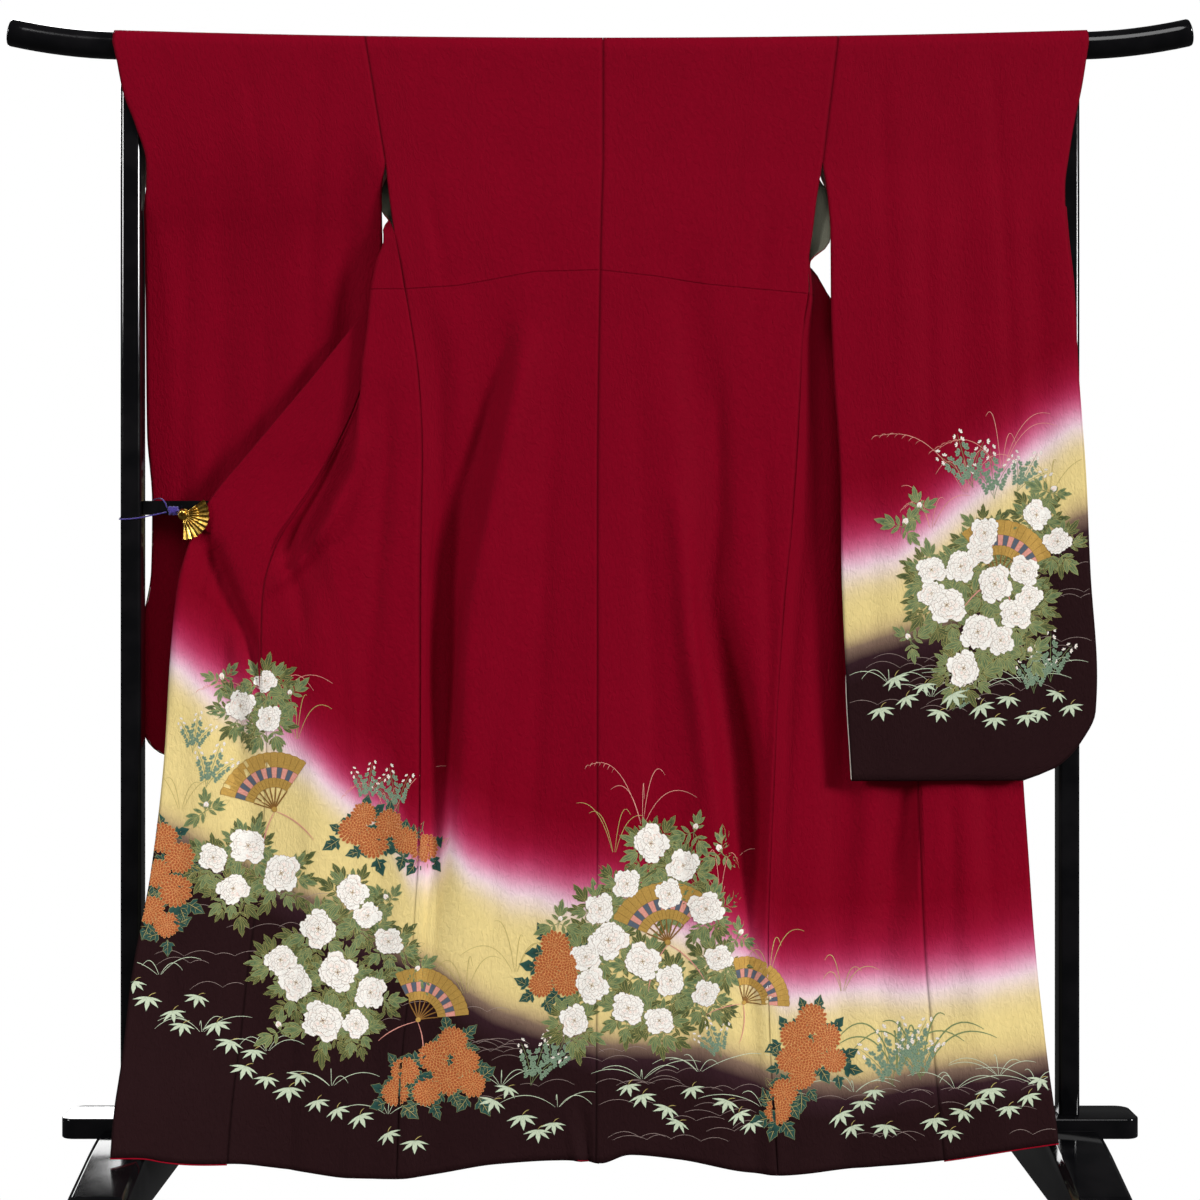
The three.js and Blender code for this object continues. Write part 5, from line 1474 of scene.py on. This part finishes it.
# Layout of the design: each kind's places, in millimetres across and up, and sizes.
layout = {
    "peony": [
        (-512, 706, .8), (-470, 688, .7), (-500, 508, .95), (-452, 470, 1.0), (-520, 448, .8),
        (-398, 392, .95), (-352, 442, .85), (-372, 330, 1.0), (-430, 316, .9), (-326, 300, .85),
        (-392, 262, 1.05), (-300, 372, .75), (-476, 742, .6), (-548, 492, .75), (-330, 408, .7),
        (-452, 348, .8), (-346, 256, .7), (98, 440, .75), (0, 420, .8), (150, 300, .7), (84, 262, .75),
        (-20, 352, .75), (540, 926, .7), (470, 866, .7), (568, 800, .75), (610, 860, .7), (72, 512, .95),
        (118, 480, .85), (38, 455, .75), (150, 420, .9), (12, 376, 1.0), (60, 345, .95), (-12, 312, .9),
        (100, 318, .8), (40, 280, .85), (-36, 262, .8), (168, 350, .7), (512, 905, .85), (546, 952, .8),
        (560, 880, .95), (492, 850, 1.0), (536, 812, .95), (590, 838, .85), (470, 900, .75), (516, 760, .9),
        (620, 978, .75), (650, 940, .7), (602, 898, .8),
    ],
    "russet": [
        (-620, 520, .95), (-596, 492, 1.0), (-628, 470, .9), (-600, 446, 1.05), (-634, 420, .9),
        (-612, 398, .8), (-350, 530, .95), (-322, 512, 1.0), (-300, 540, .9), (-276, 516, .85),
        (-250, 505, .9), (-336, 552, .8), (-236, 210, 1.0), (-208, 232, .95), (-190, 204, .9),
        (-216, 178, 1.0), (-246, 160, .9), (-180, 172, .85), (-276, 190, .9), (-290, 160, .85),
        (-64, 368, .95), (-40, 346, .9), (-72, 338, 1.0), (-48, 316, .9), (-84, 312, .8), (300, 262, 1.0),
        (276, 240, .95), (322, 236, .9), (300, 212, 1.0), (268, 206, .85), (332, 204, .8), (286, 184, .9),
        (260, 160, .9), (252, 134, .85),
    ],
    "bud": [
        (-540, 742, .9), (-440, 720, .8), (-560, 560, .9), (-300, 430, .9), (-452, 250, 1.0),
        (-262, 330, .8), (172, 500, 1.0), (134, 530, .9), (-58, 400, .8), (196, 380, .9), (430, 962, 1.0),
        (452, 985, .9), (640, 1010, 1.0), (440, 800, .9), (610, 780, .9),
    ],
    "sprig": [
        (-560, 590, .8), (-580, 640, .7), (-286, 556, .8), (-334, 570, .7), (-98, 170, .9), (-70, 190, .8),
        (414, 170, 1.0), (430, 200, .9), (452, 180, .8), (172, 210, .7), (560, 1000, .9), (530, 1016, 1.0),
        (592, 1010, .8), (640, 740, .9), (616, 724, .8), (500, 700, .6),
    ],
    "sasa": [
        (-654, 322, .9), (-586, 262, .9), (-520, 236, 1.0), (-488, 222, .9), (-424, 186, .9),
        (-372, 138, .9), (-130, 168, .9), (-88, 108, 1.0), (40, 172, .9), (112, 120, .9), (196, 132, .9),
        (356, 112, .9), (388, 164, .8), (492, 112, .9), (528, 156, .9), (572, 148, .9), (618, 186, .9),
        (434, 720, .9), (482, 700, .9), (560, 690, .9), (606, 694, .9), (668, 708, .9), (-634, 300, 1.0),
        (-600, 280, .9), (-566, 300, .9), (-540, 262, 1.0), (-500, 200, 1.0), (-470, 184, .9),
        (-440, 168, 1.1), (-400, 150, .9), (-340, 128, 1.0), (-300, 104, .9), (-262, 92, 1.0),
        (-150, 150, 1.0), (-110, 128, 1.1), (-66, 118, .9), (60, 158, 1.0), (96, 140, 1.0), (130, 168, .9),
        (180, 150, 1.0), (214, 118, .9), (340, 130, 1.0), (372, 148, .9), (404, 116, 1.0), (470, 128, 1.0),
        (510, 140, .9), (548, 172, 1.1), (600, 164, .9), (418, 748, 1.0), (460, 738, .9), (398, 704, 1.0),
        (540, 708, 1.0), (580, 720, .9), (624, 700, .9), (500, 724, 1.1), (650, 726, .8),
    ],
    "fan": [(-462, 560, 1.0), (-258, 262, .9), (96, 372, 1.05), (204, 286, .8), (566, 890, 1.0)],
}
fanTurns = [0.35, -0.5, 0.2, -0.7, -0.25]


def scatterPoints():
    # Points of every motif; leaves gather round the blossoms.
    dice = random.Random(27)
    made = {kind: [] for kind in sketches}
    for kind, places in layout.items():
        for k, (x, z, size) in enumerate(places):
            size *= enlarged.get(kind, 1.0)
            turn = dice.uniform(-0.5, 0.5) if kind in ("sasa", "sprig") else dice.uniform(0, 6.28)
            turn = fanTurns[k] if kind == "fan" else turn
            turn = dice.uniform(0.6, 2.4) if kind == "bud" else turn
            made[kind].append((x, z, size, turn, levels[kind] + 0.003 * k))
    for kind, leaf, count, reach in (("peony", "oliveLeaf", 7, 30), ("peony", "sageLeaf", 6, 22),
                                     ("russet", "tealLeaf", 5, 20), ("bud", "sageLeaf", 3, 6)):
        for x, z, size in layout[kind]:
            first = dice.uniform(0, 6.28)
            for k in range(count):
                turn = first + 2 * math.pi * k / count + dice.uniform(-0.4, 0.4)
                far = reach * size * dice.uniform(0.5, 1.0)
                made[leaf].append((x + far * math.cos(turn), z + far * math.sin(turn) - 0.3 * reach,
                                   dice.uniform(0.75, 1.1), turn + dice.uniform(-0.3, 0.3),
                                   levels[leaf] + 0.0018 * len(made[leaf]) % 0.12))
    return made


grassPlaces = [
    # root across and up, blades, reach and colour of a tuft of arched grass
    (-470, 690, 5, 95, "blush"), (-430, 660, 4, 80, "line"), (-596, 560, 4, 66, "line"),
    (-300, 545, 4, 76, "blush"), (60, 540, 5, 90, "blush"), (20, 500, 4, 76, "line"),
    (170, 440, 4, 80, "blush"), (-120, 330, 5, 78, "line"), (-190, 300, 4, 72, "line"),
    (-620, 330, 4, 56, "pale"), (-560, 250, 5, 60, "pale"), (-470, 220, 5, 58, "pale"),
    (-380, 170, 5, 60, "pale"), (-300, 130, 5, 54, "pale"), (-140, 170, 5, 62, "pale"),
    (-60, 140, 4, 54, "pale"), (60, 180, 5, 60, "pale"), (140, 190, 5, 58, "pale"),
    (230, 140, 4, 52, "pale"), (360, 160, 5, 60, "pale"), (420, 190, 6, 92, "sage"),
    (452, 186, 6, 104, "sage"), (500, 170, 5, 60, "pale"), (560, 190, 5, 62, "pale"),
    (612, 180, 4, 52, "pale"), (520, 1010, 5, 90, "blush"), (570, 1040, 5, 96, "blush"),
    (470, 960, 4, 70, "blush"), (640, 1010, 4, 60, "line"), (410, 740, 5, 54, "pale"),
    (470, 720, 5, 54, "pale"), (540, 730, 5, 56, "pale"), (600, 740, 5, 54, "pale"),
    (640, 760, 4, 46, "pale"), (240, 330, 4, 66, "line"), (345, 300, 4, 60, "line"),
]


# Faint forked blades on the brown: how many, and where on the right sleeve and on the body.
haze = {"count": 120,
        "right": {"across": (380, 690), "down": (10, 170), "lift": 0, "lowest": 660},
        "body": {"across": (-660, 640), "down": (10, 190), "lift": 20, "lowest": 92}}


def grassSketch(c):
    sketch, dice = newSketch(), random.Random(31)
    for x, z, count, reach, tone in grassPlaces:
        for k in range(count):
            lean = mix(-1, 1, (k + 0.5) / count) + dice.uniform(-0.25, 0.25)
            tall = reach * dice.uniform(0.75, 1.25)
            low = tone == "pale"
            top = (x + lean * tall * (0.8 if low else 0.5), z + tall * (0.5 if low else 0.95))
            rise = dice.uniform(*((0.05, 0.4) if low else (0.3, 0.85)))
            tip = (x + lean * tall * (1.6 if low else 1.2), z + tall * rise)
            path = curve((x + lean * 4, z), top, tip, 14)
            shine = 0.5 if tone == "line" else 0.0
            stroke(sketch, path, 0.85 if tone != "sage" else 2.0, c[tone], 0.02, shine, 0.4)
            if k == 0 and tone == "blush":
                for share in np.linspace(0.55, 1.0, 9):
                    p = path[int(share * 13)]
                    spray = curve(p, (p[0] + lean * 5, p[1] + 3), (p[0] + lean * 10, p[1] - 5), 5)
                    stroke(sketch, spray, 0.8, c[tone], 0.03)
    for k in range(haze["count"]):
        where = "body" if k % 4 else "right"
        area = haze[where]
        x = dice.uniform(*area["across"])
        z = -float(dyeHeights(where, x, 0)[1]) - dice.uniform(*area["down"]) + area["lift"]
        if z < area["lowest"]:
            continue
        for sign in (-1, 1):
            long = dice.uniform(26, 52)
            path = curve((x, z), (x + sign * long * 0.5, z + long * dice.uniform(0.25, 0.42)),
                         (x + sign * long, z + long * dice.uniform(-0.05, 0.1)), 11)
            stroke(sketch, path, 0.55, c["haze"], 0.01, 0.0, 0.5)
    return sketch


def motifField():
    # Every motif in the plane: points, faces, tints and gilding.
    tree = scatterTree()
    names = {item.name: item.identifier for item in tree.interface.items_tree if item.in_out == "INPUT"}
    fields = [sketchObject("grass", grassSketch(motifColours))]
    for kind, places in scatterPoints().items():
        source = sketchObject(kind + "_sketch", sketches[kind](motifColours))
        mesh = meshFrom(kind, [(x, z, level) for x, z, _, _, level in places], [], False)
        for label, index in (("size", 2), ("turn", 3)):
            values = mesh.attributes.new(label, "FLOAT", "POINT")
            values.data.foreach_set("value", [place[index] for place in places])
        field = addObject(kind, mesh)
        modifier = field.modifiers.new("scatter", "NODES")
        modifier.node_group = tree
        modifier[names["Motif"]] = source
        modifier[names["Size"]] = 1.0
        modifier[names["Material"]] = motifSilk
        fields.append(finish(field))
        bpy.data.objects.remove(source)
    points, faces, tint, shine = [], [], [], []
    start = 0
    for field in fields:
        mesh = field.data
        count = len(mesh.vertices)
        place = np.zeros(count * 3)
        mesh.vertices.foreach_get("co", place)
        points.append(place.reshape(-1, 3) / mm)
        colours = np.zeros(count * 4)
        mesh.attributes["tint"].data.foreach_get("color", colours)
        tint.append(colours.reshape(-1, 4))
        values = np.zeros(count)
        mesh.attributes["gilt"].data.foreach_get("value", values)
        shine.append(values)
        faces += [tuple(start + i for i in face.vertices) for face in mesh.polygons]
        start += count
        bpy.data.objects.remove(field)
    return np.concatenate(points), faces, np.concatenate(tint), np.concatenate(shine)


motifLay = {"above": 0.22, "deepest": 4}  # millimetres over the cloth, and within one face


def layOnCloth(field, names):
    # Lays the plane's motifs on the outer cloth that faces the viewer, a mesh for each panel.
    points, faces, tint, shine = field
    verts, polys, owner = [], [], []
    for name in names:
        mesh = pieces[name].data
        start = len(verts)
        verts += [v.co.copy() for v in mesh.vertices]
        polys += [tuple(start + i for i in p.vertices) for p in mesh.polygons]
        owner += [name] * len(mesh.polygons)
    tree = BVHTree.FromPolygons(verts, polys)
    placed, hits = [], []
    for x, z, level in points:
        hit = tree.ray_cast(Vector((x * mm, -1, z * mm)), Vector((0, 1, 0)))
        if hit[0] is None:
            placed.append(None)
            hits.append(None)
            continue
        normal = hit[1] if hit[1].y < 0 else -hit[1]
        placed.append(hit[0] + normal * (motifLay["above"] + level) * mm)
        hits.append(owner[hit[2]])
    made = {name: [] for name in names}
    for face in faces:
        if any(placed[i] is None for i in face):
            continue
        deep = [placed[i].y for i in face]
        if max(deep) - min(deep) < motifLay["deepest"] * mm:
            made[hits[face[0]]].append(face)
    for name, chosen in made.items():
        if not chosen:
            continue
        used = sorted({i for face in chosen for i in face})
        index = {i: k for k, i in enumerate(used)}
        mesh = bpy.data.meshes.new(name + "_motifs")
        mesh.from_pydata([placed[i] for i in used], [], [tuple(index[i] for i in face) for face in chosen])
        colours = mesh.attributes.new("tint", "FLOAT_COLOR", "POINT")
        colours.data.foreach_set("color", np.array([tint[i] for i in used], np.float32).ravel())
        values = mesh.attributes.new("gilt", "FLOAT", "POINT")
        values.data.foreach_set("value", np.array([shine[i] for i in used], np.float32))
        trims.setdefault(name, []).insert(0, addObject(name + "_near_motifs", mesh, (motifSilk,)))
        print("motifs laid on", name, len(mesh.polygons), "faces")


layOnCloth(motifField(), [f"{panel}_{side}" for panel in ("body", "okumi", "sleeve")
                          for side in ("left", "right")])

# White floor and backdrop, lit from the right, the left, above and behind.
studio = {"around": 0.2, "glossy": 0.035}


def studioLight(tree):
    # Full white to the camera, dim to everything else, and dimmer still to glossy reflections.
    path = node(tree, "ShaderNodeLightPath")
    dim = ranged(tree, path.outputs["Is Glossy Ray"], 0.0, 1.0, studio["around"], studio["glossy"])
    return ranged(tree, path.outputs["Is Camera Ray"], 0.0, 1.0, dim, 1.0)


white, whiteTree, whiteShader = newMaterial("studio white", Roughness=1.0, Specular_IOR_Level=0.0)
whiteShader.inputs["Base Color"].default_value = (0.0, 0.0, 0.0, 1)
whiteShader.inputs["Emission Color"].default_value = (1, 1, 1, 1)
whiteTree.links.new(studioLight(whiteTree), whiteShader.inputs["Emission Strength"])
floorCorners = [(x, y, 0) for x, y in ((-9000, -9000), (9000, -9000), (9000, 9000), (-9000, 9000))]
floor = addObject("floor", meshFrom("floor", floorCorners, [(0, 1, 2, 3)], False), (white,))
world = bpy.data.worlds.new("studio")
scene.world = world
world.use_nodes = True
sky = world.node_tree.nodes["Background"]
sky.inputs[0].default_value = (1, 1, 1, 1)
world.node_tree.links.new(studioLight(world.node_tree), sky.inputs[1])
lights = [
    # name, direction it comes from, strength, softness in degrees
    ("key", (0.80, -0.52, 0.30), 2.4, 14),
    ("side", (-0.85, -0.45, 0.28), 1.2, 14),
    ("top", (0.10, -0.72, 0.68), 0.8, 30),
    ("rear", (-0.30, 0.85, 0.43), 1.4, 30),
]
for name, source, power, softness in lights:
    data = bpy.data.lights.new(name, "SUN")
    data.energy, data.angle = power, math.radians(softness)
    lamp = bpy.data.objects.new(name, data)
    lamp.rotation_euler = Vector(source).to_track_quat("Z", "Y").to_euler()
    scene.collection.objects.link(lamp)

for nodeName, piece in pieces.items():
    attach(piece, "root")
    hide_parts(nodeName)
    extras = trims.get(nodeName, [])
    for extra in extras:
        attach(extra, "root")
